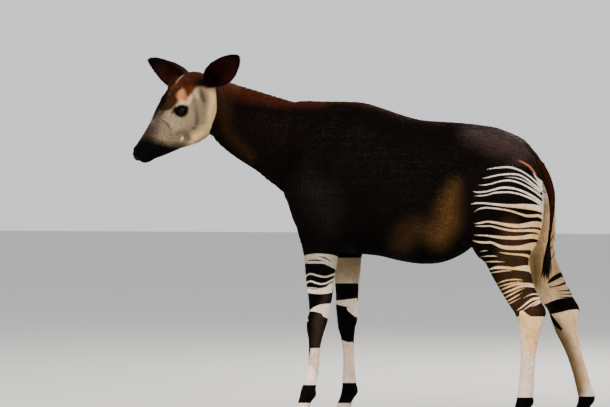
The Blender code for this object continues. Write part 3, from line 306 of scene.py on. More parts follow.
# Colours, linear
INK = (0.0026, 0.0020, 0.0018)
COCOA = (0.0100, 0.0052, 0.0036)
UMBER = (0.0400, 0.0165, 0.0065)
HAZEL = (0.0820, 0.0420, 0.0180)
WARM_DARK = (0.0460, 0.0200, 0.0085)
RED_BROWN = (0.0860, 0.0240, 0.0100)
EAR_RED = (0.0340, 0.0085, 0.0055)
RUST = (0.1250, 0.0340, 0.0120)
MAROON = (0.0580, 0.0150, 0.0060)
SALMON = (0.6200, 0.2300, 0.1500)
AMBER = (0.6200, 0.2500, 0.1000)
# Golden light on the flank: painted highlight
GOLD_HIGHLIGHT = (0.1500, 0.0780, 0.0270)
# Purplish sheen on the rump: painted sheen
PLUM_SHEEN = (0.0780, 0.0500, 0.0470)
# Grey sheen on the shoulder: painted sheen
SLATE_SHEEN = (0.0300, 0.0240, 0.0230)
MAUVE = (0.0720, 0.0560, 0.0500)
SMOKE = (0.0850, 0.0660, 0.0500)
ASH = (0.2000, 0.1580, 0.1100)
CREAM = (0.7400, 0.5200, 0.2900)
HONEY = (0.8200, 0.5450, 0.2750)
MILK = (0.8200, 0.7300, 0.6300)
# Painted shade on the leg sides that face each other
BEIGE_SHADE = (0.2900, 0.2000, 0.0900)
# Golden brown shade on the pale hair of the far hind leg: painted shade
OCHRE_SHADE = (0.2100, 0.1350, 0.0500)
DUN = (0.4300, 0.3850, 0.3050)
TAUPE = (0.0480, 0.0310, 0.0230)
PINK = (0.7600, 0.5800, 0.4800)
FACE = (0.2850, 0.2250, 0.1500)

# Strokes of the coat: photo pixels x, y and half the width. Pale ones on the near foreleg's outer side
FORE_OUTER_PALE = [
    [(303, 260, 3.6), (309, 259, 4.6), (316, 258.5, 5.0), (324, 258.8, 5.0), (331, 260.5, 6.0),
     (339, 264, 6.5)],
    [(338, 268, 2.2), (339, 276, 3.0), (338.5, 284, 3.0), (338, 289, 3.2)],
    [(305, 278.5, 0.4), (306.5, 275.8, 0.8), (309, 274.1, 0.9), (312, 274, 0.9), (317, 275.4, 0.9),
     (322.5, 276.7, 0.9), (327, 276.6, 0.9), (331, 275.3, 1.0), (337, 273.2, 1.3)],
    [(305, 286, 0.4), (306.5, 283.2, 0.8), (309, 281.5, 0.9), (312, 281.4, 0.9), (316, 282.9, 0.9),
     (321, 284, 0.9), (326, 283.2, 0.9), (331, 280.7, 1.1), (337, 277.5, 1.4)],
    [(305.5, 290, 2.6), (312, 290.3, 3.1), (320, 291.2, 3.0), (327, 290, 3.5), (333, 287.5, 4.8),
     (338, 286, 5)],
    [(310, 310.8, 0.6), (315, 309.3, 2.4), (321, 308.8, 4.4), (327, 309.5, 5.9), (336, 310.5, 7.5)],
    [(325, 314, 3.0), (332, 317, 3.5)],
    [(307, 319.5, 1.2), (307.5, 321, 0.9)],
    [(250, 366.5, 18.5), (370, 366.5, 18.5)],
    [(250, 418, 15.0), (370, 418, 15.0)],
]
FORE_OUTER_DARK = [
    [(317.5, 255.9, 0.1), (323, 257.2, 0.55), (328, 259.5, 0.55), (333, 262.2, 0.1)],
    [(306, 260.7, 0.1), (312, 260.2, 0.7), (318, 260.2, 0.7), (325, 261.4, 0.1)],
    [(307.5, 288.5, 0.1), (313, 288.8, 0.5), (319, 289.4, 0.1)],
    [(309, 344, 2.2), (307.5, 358, 1.7), (305.5, 368, 1.2), (303.5, 380, 0.6)],
]
FORE_INNER_PALE = [
    [(250, 270.5, 12.8), (420, 270.5, 12.8)],
    [(333, 302, 1.4), (344, 303, 3.2), (362, 303, 5.8)],
    [(352, 308, 5.0), (358, 315, 3.2)],
    [(250, 362.5, 20.5), (420, 362.5, 20.5)],
    [(340, 341, 1.5), (346, 343, 1.5)],
    [(250, 418, 15.0), (420, 418, 15.0)],
]
FORE_INNER_DARK = [
    [(336, 306, 1.8), (342, 316, 3.0), (347, 328, 6.0), (350, 338, 3.2)],
]
HIND_OUTER_PALE = [
    [(487, 169.3, 0.1), (492, 168.4, 0.55), (500, 167.6, 0.75), (507, 167.2, 0.85), (513, 168, 0.85),
     (520, 170.6, 0.8), (527, 174.6, 0.8), (533, 179.2, 0.8), (538, 184, 1.0), (543, 190, 1.3)],
    [(483, 178.3, 0.1), (489, 177.2, 0.65), (497, 175.3, 0.7), (505, 174.3, 0.8), (512, 174.1, 0.85),
     (519, 175, 0.85), (526, 178.5, 0.85), (533, 184, 0.9), (541, 190.5, 1.2)],
    [(505, 177.2, 0.1), (514, 177.5, 0.45), (521, 179.4, 0.55), (527, 182.4, 0.6), (533, 186.6, 0.6),
     (540, 192, 0.8)],
    [(478, 185, 0.1), (485, 185, 0.5), (492, 183.6, 0.7), (500, 181.3, 0.75), (508, 180.4, 0.85),
     (514, 181.2, 0.85), (521, 183.6, 0.85), (528, 187.2, 0.85), (535, 191.6, 1.0), (541, 196.4, 1.1),
     (546, 201, 1.3)],
    [(473, 191.5, 0.1), (478, 192.2, 0.75), (486, 191.6, 0.75), (493, 189.8, 0.8), (500, 188, 0.95),
     (508, 187.7, 1.05), (516, 189, 0.95), (524, 191.8, 0.95), (532, 195.8, 1.05), (539, 200.8, 1.1),
     (545, 206, 1.3)],
    [(474, 195.9, 0.1), (480, 195.8, 0.6), (487, 195, 0.6), (494, 193, 0.7), (502, 192.2, 0.8),
     (510, 192.3, 0.8), (518, 193.7, 0.8), (526, 196.4, 0.9), (534, 200.2, 0.9), (540, 204.2, 1.0),
     (546, 209.5, 1.2)],
    [(470, 204.5, 0.1), (476, 203.2, 0.8), (484, 203.2, 0.8), (492, 204, 1.0), (500, 204.9, 1.25),
     (508, 205.6, 1.5), (516, 206, 2.0), (524, 206.4, 2.5), (532, 207.2, 2.9), (539, 208.6, 3.0),
     (546, 212, 2.8)],
    [(474, 212, 0.1), (479, 209, 0.6), (486, 207.7, 0.75), (494, 208.3, 0.75), (502, 209.3, 0.8),
     (510, 210.8, 0.9), (518, 213.2, 1.0), (526, 215.7, 1.2), (533, 215.8, 1.4), (539, 215.8, 1.5),
     (546, 219.5, 1.7)],
    [(474, 223.4, 0.1), (480, 223, 0.9), (486, 221.8, 0.8), (491, 221.9, 1.0), (499, 223.3, 1.3),
     (506, 224.7, 1.6), (513, 225.6, 1.8), (520, 225.9, 2.0), (527, 224.9, 2.4), (534, 224.1, 2.8),
     (541, 225.1, 2.9), (546, 228, 2.4)],
    [(475, 225.9, 0.2), (482, 226.3, 0.6), (490, 226, 0.7), (498, 227.8, 0.9), (506, 229.7, 1.0),
     (514, 230.7, 1.1), (522, 230.6, 1.2), (530, 230.4, 1.4), (537, 231, 1.7), (543, 234, 2.0)],
    [(474, 235, 0.1), (480, 235.3, 0.6), (487, 235.6, 0.8), (494, 236.6, 1.1), (502, 237.5, 1.5),
     (510, 237.8, 1.7), (518, 237.8, 1.8), (525, 237.1, 2.0), (532, 236.2, 2.4), (538, 237.1, 2.6),
     (542, 239.5, 2.6)],
    [(473, 240.5, 0.1), (478, 241.9, 0.9), (485, 242.5, 1.0), (491, 242.4, 1.1), (496, 244.4, 1.3),
     (502, 246.8, 1.7), (509, 247.8, 2.0), (517, 247.9, 2.1), (524, 247.3, 2.7), (530, 246.5, 3.7),
     (536, 247.5, 4.6), (535, 252, 3.8), (533, 257, 2.6), (531, 263, 1.4)],
    [(499, 252.2, 0.1), (505, 253.2, 0.7), (512, 254, 0.85), (520, 254.6, 0.95), (527, 255.6, 1.3),
     (532, 258, 1.6)],
    [(480, 251.6, 0.2), (484, 250.8, 0.5), (488, 250.6, 0.1)],
    [(481, 256.7, 0.2), (488, 256, 0.55), (494, 256, 0.5), (498, 256.4, 0.1)],
    [(484, 262.1, 0.2), (491, 261.5, 0.6), (498, 261.6, 0.5), (505, 262, 0.1)],
    [(488, 269.9, 0.2), (494, 267.9, 1.1), (500, 267.4, 1.5), (507, 267.8, 1.4), (513, 268.4, 1.3),
     (519, 268.2, 2.0), (525, 268.2, 2.8), (531, 269.5, 3.0), (533, 275, 1.2)],
    [(490, 273, 0.2), (497, 271.8, 0.6), (504, 270.9, 0.6), (511, 270.6, 0.4)],
    [(497, 283.8, 0.2), (503, 281.3, 0.6), (510, 279.8, 0.65), (517, 279.4, 0.6), (523, 280.2, 0.1)],
    [(498, 287, 0.2), (505, 284.8, 0.6), (511, 283.2, 0.7), (517, 282.2, 0.5), (522, 281.8, 0.1)],
    [(500, 290.6, 0.2), (506, 287.8, 0.8), (512, 285.6, 1.0), (519, 283.9, 0.9), (526, 283.6, 0.8),
     (531, 284.2, 0.9), (535, 286, 1.0)],
    [(501, 294.8, 0.2), (507, 292.1, 0.8), (513, 289.6, 1.1), (520, 286.7, 1.1), (527, 285.9, 1.0),
     (535, 286.6, 1.2)],
    [(503, 298.7, 0.2), (508, 296, 0.7), (514, 292.9, 0.8), (520, 289.8, 0.5), (525, 288.4, 0.1)],
    [(504, 302.6, 0.2), (510, 299.8, 0.6), (516, 296.4, 0.7), (522, 292.8, 0.1)],
    [(506, 305.2, 0.2), (511, 302.8, 0.5), (516, 300.2, 0.4), (521, 297.2, 0.1)],
    [(523, 298.2, 0.1), (529, 295.2, 0.5), (534, 294, 0.7), (538, 294.5, 0.6)],
    [(517, 310.5, 0.3), (523, 306.2, 0.8), (528, 302.2, 1.0), (533, 299.2, 1.3), (540, 298, 1.3)],
    [(521, 311.8, 0.2), (527, 307.5, 0.6), (532, 304.2, 0.7), (537, 301.8, 0.9), (543, 299.8, 1.0)],
    [(531, 306.8, 0.1), (536, 304.6, 0.6), (541, 302, 0.7), (545, 299.8, 0.5)],
    [(533, 172.8, 0.3), (536.5, 178, 0.9), (541.5, 183.5, 2.4), (546, 190, 4.6), (549.5, 197, 6.2),
     (551.5, 205, 6.8), (552.5, 214, 6.6), (552, 222, 6.6), (550, 232, 7.0), (547, 242, 8.0), (541, 257, 7.5),
     (541, 270, 7.0), (544, 284, 6.5), (550, 297, 5.0)],
    [(430, 357, 40.5), (660, 357, 40.5)],
    [(522, 313, 2.6), (524, 318, 5.0), (527, 322, 7.0)],
    [(430, 424, 15.0), (660, 424, 15.0)],
]
HIND_OUTER_DARK = [
    [(506, 306, 1.5), (511, 313, 3.2), (515, 317, 1.6)],
]
HIND_INNER_DARK = [
    [(470, 158, 30.0), (560, 158, 22.0)],
    [(549, 243, 0.4), (557, 229, 0.5)],
    [(549, 251, 0.4), (558, 238, 0.5)],
    [(551, 259, 0.4), (558, 248, 0.5)],
    [(548, 283, 0.8), (553, 279, 2.2), (560, 275, 2.4), (568, 271, 2.4)],
    [(549, 287.2, 0.4), (558, 285.6, 0.7), (568, 282, 1.4)],
    [(559, 291, 0.4), (571, 290.6, 0.9)],
    [(559, 294.2, 0.3), (571, 294.2, 0.7)],
    [(559, 297, 0.3), (571, 297.4, 0.7)],
    [(538, 311, 4.5), (548, 309, 5.6), (558, 306, 6.6), (570, 303.6, 6.2), (584, 303, 6.2)],
    [(544, 311, 4.5), (552, 320, 3.0), (561, 329, 1.4)],
    [(430, 403.5, 7.0), (660, 403.5, 7.0)],
]

# Soft patches: colour, softness in pixels, strength, and strokes as above
FACE_PATCHES = [
    (CREAM, 4.0, 0.75, [(211, 92, 3.5), (212, 108, 5), (210, 120, 6), (203, 130, 5), (194, 137, 4),
                        (188, 144, 3)]),
    (FACE, 4.0, 0.8, [(176, 120, 7), (182, 128, 6), (172, 130, 4)]),
    (ASH, 3.0, 0.75, [(167, 125, 2), (172, 136, 3), (180, 133, 2.5), (188, 138, 3)]),
    (ASH, 3.5, 0.7, [(206, 96, 3.5), (204, 110, 2.5), (203, 122, 2.5)]),
    (SMOKE, 2.0, 0.9, [(200.5, 90, 1.2), (202, 96, 2.2), (203.5, 101, 1.8)]),
    (SMOKE, 4.0, 0.6, [(194, 99, 2.4), (195.5, 108, 2.8), (196.5, 118, 2.4), (196, 126, 1.4)]),
    (UMBER, 1.6, 0.4, [(196, 109, 0.6), (196.8, 117, 1.0), (196.4, 124, 0.6)]),
    (UMBER, 1.4, 0.7, [(192.5, 128.5, 0.8), (194.5, 128.3, 0.6)]),
    (MILK, 2.0, 0.3, [(194.5, 91, 1.4), (197, 98, 1.2)]),
    (MAUVE, 7.0, 0.9, [(160, 113, 3), (156, 122, 5), (152, 131, 7), (150, 138, 7)]),
    (ASH, 3.0, 0.6, [(163, 128, 2), (166, 137, 3), (172, 140, 2)]),
    (SMOKE, 4.0, 0.6, [(186, 134, 1.0), (188, 139, 2.0), (184, 144, 3.0), (176, 145, 2.5)]),
    (UMBER, 4.0, 0.8, [(149, 126, 3), (144, 136, 6), (147, 142, 4)]),
    (UMBER, 1.5, 1.0, [(180, 89, 0.8), (176, 93, 3.8), (172, 99, 5.6), (167, 104, 6.4), (163, 107, 4.5)]),
    (MAROON, 3.0, 0.8, [(176, 93, 1.8), (174, 98, 3.2), (172, 103, 2.4)]),
    (INK, 3.5, 0.95, [(168, 90, 2.0), (163, 97, 4.0), (160, 104, 5.0), (157, 110, 3.6), (153, 118, 1.8)]),
    (WARM_DARK, 1.5, 0.75, [(162, 112, 1.6), (161, 115, 0.8)]),
    (UMBER, 2.0, 0.7, [(173, 109, 0.8), (171.5, 113, 1.0)]),
    (AMBER, 3.0, 0.8, [(179.5, 91, 2.2), (180, 96, 3.2), (184, 98.8, 3.2), (189, 98.8, 1.6)]),
    (PINK, 2.0, 0.6, [(181, 101.4, 1.8), (187, 102.8, 2.2), (190.5, 97, 1.6)]),
    (RUST, 2.0, 1.0, [(187.5, 95, 1.4), (188.5, 91, 3.6), (189, 85, 7.0), (188, 79, 8.0)]),
    (RUST, 2.5, 1.0, [(168, 88, 4.0), (175, 83, 7.0), (184, 78, 9.0), (196, 77, 9.5), (212, 78, 9.0)]),
    (MAROON, 3.0, 0.95, [(180, 86, 2.5), (184, 81, 6.0), (190, 77, 7.0), (198, 78, 6.0)]),
    (UMBER, 1.5, 0.95, [(171, 92, 2.0), (175, 90.5, 2.6), (180, 88.4, 1.0)]),
    (INK, 2.0, 0.9, [(168, 90, 2.0), (165, 95, 3.0), (161, 102, 3.5)]),
    (COCOA, 2.0, 0.9, [(168.5, 86, 2.6), (171.5, 81.5, 3.6), (175, 77.5, 2.2)]),
    (INK, 3.0, 0.95, [(194, 84.5, 1.6), (200, 83, 4.0), (208, 81, 6.0), (214, 81, 6.0)]),
    (PINK, 0.8, 0.3, [(176, 83, 0.5), (180, 78, 0.6), (184, 74, 0.4)]),
    (INK, 5.5, 1.0, [(133, 152, 13), (143, 154, 16.0), (152, 154, 14.0), (159, 153, 11.6), (167, 152, 8.4),
                     (177, 150, 5.0), (188, 147.6, 1.0)]),
    (DUN, 1.0, 1.0, [(182, 136.6, 1.0), (181.7, 139.2, 1.5), (180.8, 141, 0.8)]),
    (MILK, 1.0, 0.9, [(182, 137.4, 0.5), (181.8, 139.0, 0.9)]),
    (INK, 0.6, 0.9, [(160, 119, 0.15), (164, 121.6, 0.45), (167.3, 124.6, 0.5), (169.5, 128, 0.45),
                     (172, 130, 0.15)]),
    (COCOA, 0.8, 0.6, [(159.5, 113, 0.15), (159.3, 118, 0.35)]),
    (UMBER, 2.5, 0.7, [(178, 110, 4.0), (184, 110, 4.0)]),
    (INK, 1.5, 0.98, [(173, 113, 0.4), (176.5, 110.6, 3.2), (180.8, 111.2, 6.0), (184.5, 109.4, 3.6),
                      (187, 106.8, 0.8)]),
    (CREAM, 1.2, 0.7, [(176.5, 106, 0.3), (181, 103.2, 0.7), (186, 104.6, 0.4)]),
]
NECK_EDGE = [(243, 78, 28), (246, 100, 29.5), (246, 113, 29.5), (243, 124, 29), (240, 138, 31)]
BODY_PATCHES = [
    (COCOA, 14.0, 0.7, [(235, 110, 16), (265, 125, 16), (290, 140, 12)]),
    (WARM_DARK, 8.0, 0.8, [(222, 96, 6), (224, 115, 6), (228, 132, 5), (250, 156, 4)]),
    (HAZEL, 8.0, 0.65, [(510, 226, 8), (514, 245, 16), (515, 280, 17), (525, 310, 16)]),
    # Reddish brown along the top of the neck: the neck's own reddish tone, with painted highlight along its
    # top
    (RED_BROWN, 7.0, 0.95, [(226, 86, 10), (245, 92, 9), (262, 97, 6), (285, 102, 4), (320, 104, 1.5)]),
    # Lighter reddish brown along the back's top line: painted highlight
    (RED_BROWN, 4.0, 0.6, [(320, 102, 3), (345, 101, 2.5), (375, 106, 2.5), (400, 114, 2), (440, 121, 2)]),
    (TAUPE, 4.0, 0.9, [(326, 297, 3.5), (322, 306, 3), (319, 318, 5.5), (318.5, 330, 5.5), (317, 343, 5)]),
    # Grey over the shoulder: painted sheen
    (SLATE_SHEEN, 16.0, 0.35, [(310, 185, 12), (325, 205, 14), (330, 225, 8)]),
    # Brown light on the lower belly: painted highlight
    (HAZEL, 14.0, 0.6, [(428, 228, 8), (410, 232, 11), (400, 244, 9)]),
    # Golden light on the flank behind the shoulder: painted highlight
    (GOLD_HIGHLIGHT, 13.0, 0.75, [(454, 185, 3), (448, 204, 8), (447, 221, 10), (438, 238, 9)]),
    # Lighter purplish brown over the rump: painted sheen
    (PLUM_SHEEN, 14.0, 0.95, [(470, 132, 6), (495, 138, 12), (522, 150, 9), (515, 158, 4)]),
    (SALMON, 1.0, 0.9, [(518, 160, 0.2), (523, 162.2, 0.7), (528, 165.4, 0.9), (532, 169.6, 0.9),
                        (535, 174.5, 0.7)]),
]
# Patches on the hind legs' pale hair: painted light and shade on their inner sides, then warmth on their
# outer sides with painted shade at the stripes' front ends
INNER_LIGHT_AND_SHADE = [
    # Ochre and hazel darken the far hind leg's inner hair towards its front, cream and honey lighten it
    # behind: painted shade and painted light
    (CREAM, 6.0, 0.8, [(549, 215, 4), (547, 240, 4), (548, 262, 4), (551, 290, 5)]),
    (OCHRE_SHADE, 5.0, 0.9, [(534, 258, 2), (535, 270, 3), (536, 284, 3.5)]),
    (HONEY, 5.0, 0.7, [(566, 318, 4), (574, 330, 4), (580, 350, 5), (584, 380, 5)]),
    (OCHRE_SHADE, 6.0, 0.9, [(554, 322, 5), (563, 340, 8), (571, 365, 9), (577, 390, 9)]),
    (HAZEL, 4.0, 0.7, [(555, 328, 1.5), (562, 346, 3), (570, 370, 4), (576, 392, 4)]),
    (CREAM, 4.0, 0.7, [(572, 316, 3), (578, 340, 3)]),
]
LEG_PATCHES = [
    (HONEY, 7.0, 0.95, [(506, 208, 3), (522, 210, 6), (536, 218, 7), (537, 234, 8), (534, 252, 8)]),
    (HONEY, 9.0, 0.95, [(505, 210, 4), (512, 224, 9), (512, 240, 10), (514, 256, 9), (512, 272, 9),
                        (512, 288, 8)]),
    (HONEY, 6.0, 0.9, [(528, 318, 8), (531, 332, 8), (533, 350, 6)]),
    (PINK, 12.0, 0.4, [(528, 372, 8), (526, 396, 10)]),
    # Pinkish grey at the front ends of the haunch's pale stripes: painted shade
    (PINK, 7.0, 0.6, [(478, 190, 4), (478, 210, 4), (479, 230, 4)]),
]

# Coat: name, depth under the solids, tuft length, width and spacing
COAT = {
    "trunk": (0.0040, 0.0160, 0.0038, 0.0070),
    "neck": (0.0040, 0.0150, 0.0036, 0.0067),
    "rump": (0.0034, 0.0115, 0.0031, 0.0056),
    "head": (0.0016, 0.0075, 0.0024, 0.0049),
    "ear": (0.0012, 0.0090, 0.0021, 0.0045),
    "leg": (0.0024, 0.0095, 0.0025, 0.0051),
    "tail": (0.0020, 0.0120, 0.0026, 0.0040),
}

# Shares of an ear's length where its skin starts, sunk in the head, and ends
EAR_BURIED = -0.12
EAR_TIP = 0.985

# Places for roots that are tried before they are thinned out, and the height over the ground where they start
SAMPLES = 1000000
COAT_FROM = 0.065
# A tuft's points: share of its length, half its width, its lift and the height of its ridge
TUFT_RINGS = ((0.0, 0.42, -0.5, 0.3), (0.5, 0.5, 0.75, 0.26))
TUFT_FACES = ((0, 2, 5), (0, 5, 3), (2, 1, 4), (2, 4, 5), (1, 0, 3), (1, 3, 4),
              (3, 5, 6), (5, 4, 6), (4, 3, 6), (0, 1, 2))
TUFT_SHADES = (0.82, 0.82, 0.9, 1.0, 1.0, 1.06, 1.12)
# Ranges of the tufts' length, width and lift over the usual, and of how light they are
TUFT_LENGTHS = (0.75, 1.15)
TUFT_WIDTHS = (0.8, 1.2)
TUFT_LIFTS = (0.45, 1.0)
TUFT_LIGHTS = (0.80, 1.16)
# How far tufts turn together, over what distance, and how far each turns on its own
TURN_SHARED = 0.22
TURN_OVER = 0.09
TURN_OWN = 0.10
# A tuft's size on the sheet of its piece
PATCH = 0.003
# How far a marking's edge frays on the skin and in the tufts, and how soft it is
FRAY_SKIN = 0.0075
FRAY_TUFTS = 0.0045
EDGE_SOFT = 0.0016
# How near a marking's edge the skin's faces are made smaller, in metres
EDGE_BELT = 0.0070
# Locks in the tail's tuft, and lashes on each eye
TAIL_LOCKS = 260
LASHES = 34
# Multipliers that scatter the cells of a grid over a table of random numbers, and the table's length
HASH = (73856093, 19349663, 83492791)
HASH_SIZE = 4096
CELL_KEY = 1000003

# Colours of eyes, horn, long hair and floor, with their opacity
IRIS_DARK = (0.0030, 0.0020, 0.0017, 1.0)
IRIS_LIGHT = (0.0085, 0.0048, 0.0032, 1.0)
PUPIL = (0.002, 0.002, 0.0022, 1.0)
EYE_WHITE = (0.0100, 0.0065, 0.0055, 1.0)
HORN_DARK = (0.030, 0.025, 0.022, 1.0)
HORN_LIGHT = (0.105, 0.086, 0.068, 1.0)
HORN_WORN = (0.21, 0.18, 0.145, 1.0)
TAIL_BLACK = (0.006, 0.004, 0.004, 1.0)
TAIL_BROWN = (0.030, 0.017, 0.012, 1.0)
LASH_BLACK = (0.004, 0.003, 0.003, 1.0)
LASH_BROWN = (0.016, 0.010, 0.008, 1.0)
FLOOR_GREY = (0.60, 0.595, 0.58, 1.0)
FLOOR_PALE = (0.64, 0.635, 0.62, 1.0)
SHEEN_TINT = (1.0, 0.86, 0.76, 1.0)
SKY = (0.97, 0.98, 1.0, 1.0)

# Lamps: their colour, what they look at, then name, place, width and power
WARM_LIGHT = (1.0, 0.955, 0.885)
LAMPS_AIM = (0.0, 0.0, 0.95)
LAMPS = [
    ("key", (-2.5, -5.0, 5.0), 3.5, 420.0),
    ("fill", (4.5, -4.0, 3.0), 4.0, 190.0),
    ("rim", (1.5, 5.0, 4.5), 3.5, 260.0),
]

# How far a point may lie from a stroke and still be touched by it, and what counts as far off, in pixels
STROKE_REACH = 14.0
FAR_OFF = 30.0
# Where hind legs begin along the body, and the height that only the head and the throat reach before x = 0
HIND_FROM = 0.56
HEAD_FROM = 1.1
# How high the pale hair between the hind legs goes
INNER_TOP = 1.115

# Fineness of the skin, and of the ears along, round and over their rims
BODY_STEP = 0.0060
HEAD_STEP = 0.0025
EAR_ROWS = 60
EAR_COLUMNS = 34
EAR_RIM = 5
# The strip of skin that joins body and head, and the seed of all that is random
SEAM = 0.0050
SEED = 7
# The eight corners of a grid's cell
CORNERS = list(product((0, 1), repeat=3))


def unit(v):
    v = np.asarray(v, dtype=float)
    return v / np.linalg.norm(v)


def smooth_rows(rows, times):
    """Rows of numbers with more rows set between them, on a curve through them all."""
    rows = np.asarray(rows, dtype=float)
    first = 2 * rows[0] - rows[1]
    last = 2 * rows[-1] - rows[-2]
    p = np.vstack([first, rows, last])
    out = []
    for i in range(1, len(p) - 2):
        for s in range(times):
            t = s / times
            a = 2 * p[i]
            b = p[i + 1] - p[i - 1]
            c = 2 * p[i - 1] - 5 * p[i] + 4 * p[i + 1] - p[i + 2]
            d = 3 * p[i] - p[i - 1] - 3 * p[i + 1] + p[i + 2]
            out.append(0.5 * (a + b * t + c * t * t + d * t ** 3))
    out.append(rows[-1])
    return np.array(out)


def melt(a, b, k):
    """The nearer of two distances, blended over k where they are alike."""
    h = np.clip(0.5 + 0.5 * (b - a) / k, 0.0, 1.0)
    return b + (a - b) * h - k * h * (1.0 - h)


class Field:
    """Distances to the flesh, negative inside, on a grid that may stand in its own frame."""

    def __init__(self, low, high, cell, place=(0.0, 0.0, 0.0), axes=None):
        self.low = np.array(low, dtype=float)
        self.cell = cell
        self.count = np.ceil((np.array(high) - self.low) / cell).astype(int) + 1
        self.place = np.array(place, dtype=float)
        self.axes = np.eye(3) if axes is None else np.array(axes, dtype=float)
        self.value = np.full(self.count, FAR, dtype=np.float32)

    def part(self, low, high):
        """The slices of the grid that cover a box given in the field's own frame, and their points."""
        box = self.box(np.asarray(low), np.asarray(high), self.low, self.count)
        if box is None:
            return None, None
        lines = [first + self.cell * np.arange(cut.start, cut.stop) for first, cut in zip(self.low, box)]
        return box, np.stack(np.meshgrid(*lines, indexing="ij"), axis=-1)

    def box(self, low, high, start, count):
        """The slices of a grid from start on that lie between two corners, or None."""
        a = np.clip(np.floor((low - start) / self.cell).astype(int), 0, count)
        b = np.clip(np.ceil((high - start) / self.cell).astype(int) + 1, 0, count)
        return None if np.any(b <= a) else tuple(slice(i, j) for i, j in zip(a, b))

    def inward(self, point):
        """A point of the world as the field's own frame has it."""
        return (np.asarray(point, dtype=float) - self.place) @ self.axes.T

    def turn(self, vector):
        return np.asarray(vector, dtype=float) @ self.axes.T

    def lay(self, where, distance, k, carve=False):
        """Melts a shape into the flesh, or out of it."""
        sign = -1 if carve else 1
        self.value[where] = sign * melt(sign * self.value[where], distance.astype(np.float32), k)

    def egg(self, centre, radii, k=0.03, axes=None, carve=False, own=False):
        """An ellipsoid; own says that it is placed in the field's own frame."""
        c = np.asarray(centre, dtype=float) if own else self.inward(centre)
        frame = np.eye(3) if axes is None else np.array([unit(v) for v in axes])
        if not own:
            frame = np.array([self.turn(v) for v in frame])
        radii = np.asarray(radii, dtype=float)
        far = np.max(radii) + (k + 2 * self.cell if carve else REACH)
        where, p = self.part(c - far, c + far)
        if where is None:
            return
        q = (p - c) @ frame.T
        k0 = np.linalg.norm(q / radii, axis=-1)
        k1 = np.linalg.norm(q / radii ** 2, axis=-1) + 1e-9
        self.lay(where, k0 * (k0 - 1.0) / k1, k, carve)

    def sweep(self, rows, k=0.03, times=2, side=(0.0, 1.0, 0.0), own=False, carve=False):
        """A body through rows of x, y, z, half width, half depth; side is the way of the width, or level."""
        rows = smooth_rows(rows, times)
        centre = rows[:, :3] if own else self.inward(rows[:, :3])
        half = rows[:, 3:5]
        up = None if side is None else (np.asarray(side, float) if own else self.turn(side))
        spare = k + 2 * self.cell if carve else REACH
        size = np.max(half, axis=1)[:, None] + spare
        where, p = self.part(np.min(centre - size, axis=0), np.max(centre + size, axis=0))
        if where is None:
            return
        whole = np.full(p.shape[:3], FAR)
        for i in range(len(rows) - 1):
            a = centre[i]
            b = centre[i + 1]
            along = b - a
            length = np.linalg.norm(along)
            w = along / length
            u = unit(np.cross(self.turn((0.0, 0.0, 1.0)), w) if up is None else up - w * (up @ w))
            v = np.cross(w, u)
            reach = max(np.max(half[i]), np.max(half[i + 1])) + spare
            box = self.box(np.minimum(a, b) - reach, np.maximum(a, b) + reach, p[0, 0, 0], p.shape[:3])
            if box is None:
                continue
            q = p[box] - a
            t = np.clip((q @ w) / length, 0.0, 1.0)
            beyond = q @ w - t * length
            r0 = half[i][0] + (half[i + 1][0] - half[i][0]) * t
            r1 = half[i][1] + (half[i + 1][1] - half[i][1]) * t
            r2 = np.minimum(r0, r1)
            x = q @ u
            y = q @ v
            k0 = np.sqrt((x / r0) ** 2 + (y / r1) ** 2 + (beyond / r2) ** 2)
            k1 = np.sqrt((x / r0 ** 2) ** 2 + (y / r1 ** 2) ** 2 + (beyond / r2 ** 2) ** 2) + 1e-9
            whole[box] = np.minimum(whole[box], k0 * (k0 - 1.0) / k1)
        self.lay(where, whole, k, carve)

    def slices(self, rows, power, egg, k=0.03):
        """A body given by its top, underline and half width along the field's own first axis."""
        rows = smooth_rows(rows, 4)
        x = rows[:, 0]
        reach = np.max(rows[:, 3]) + REACH
        where, p = self.part((x[0] - 0.02, -reach, np.min(rows[:, 2]) - REACH),
                             (x[-1] + 0.02, reach, np.max(rows[:, 1]) + REACH))
        line = p[:, 0, 0, 0]
        top = np.interp(line, x, rows[:, 1])[:, None, None]
        bottom = np.interp(line, x, rows[:, 2])[:, None, None]
        half = np.interp(line, x, rows[:, 3])[:, None, None]
        z = p[..., 2]
        y = p[..., 1]
        middle = 0.5 * (top + bottom)
        tall = 0.5 * (top - bottom)
        level = (z - middle) / tall
        wide = half * (1.0 - egg * np.clip(level, -1.0, 1.0))
        f = (np.abs(y / wide) ** power + np.abs(level) ** power) ** (1.0 / power)
        beyond = np.maximum(x[0] - p[..., 0], p[..., 0] - x[-1])
        dy = (f[:, 2:, :] - f[:, :-2, :]) / (2 * self.cell)
        dz = (f[:, :, 2:] - f[:, :, :-2]) / (2 * self.cell)
        dx = (f[2:] - f[:-2]) / (2 * self.cell)
        slope = np.zeros_like(f)
        slope[:, 1:-1, :] += dy ** 2
        slope[:, :, 1:-1] += dz ** 2
        slope[1:-1] += np.minimum(dx ** 2, SLOPE_LIMIT)
        d = (f - 1.0) / np.sqrt(np.maximum(slope, 4.0))
        self.lay(where, np.maximum(d, beyond), k)

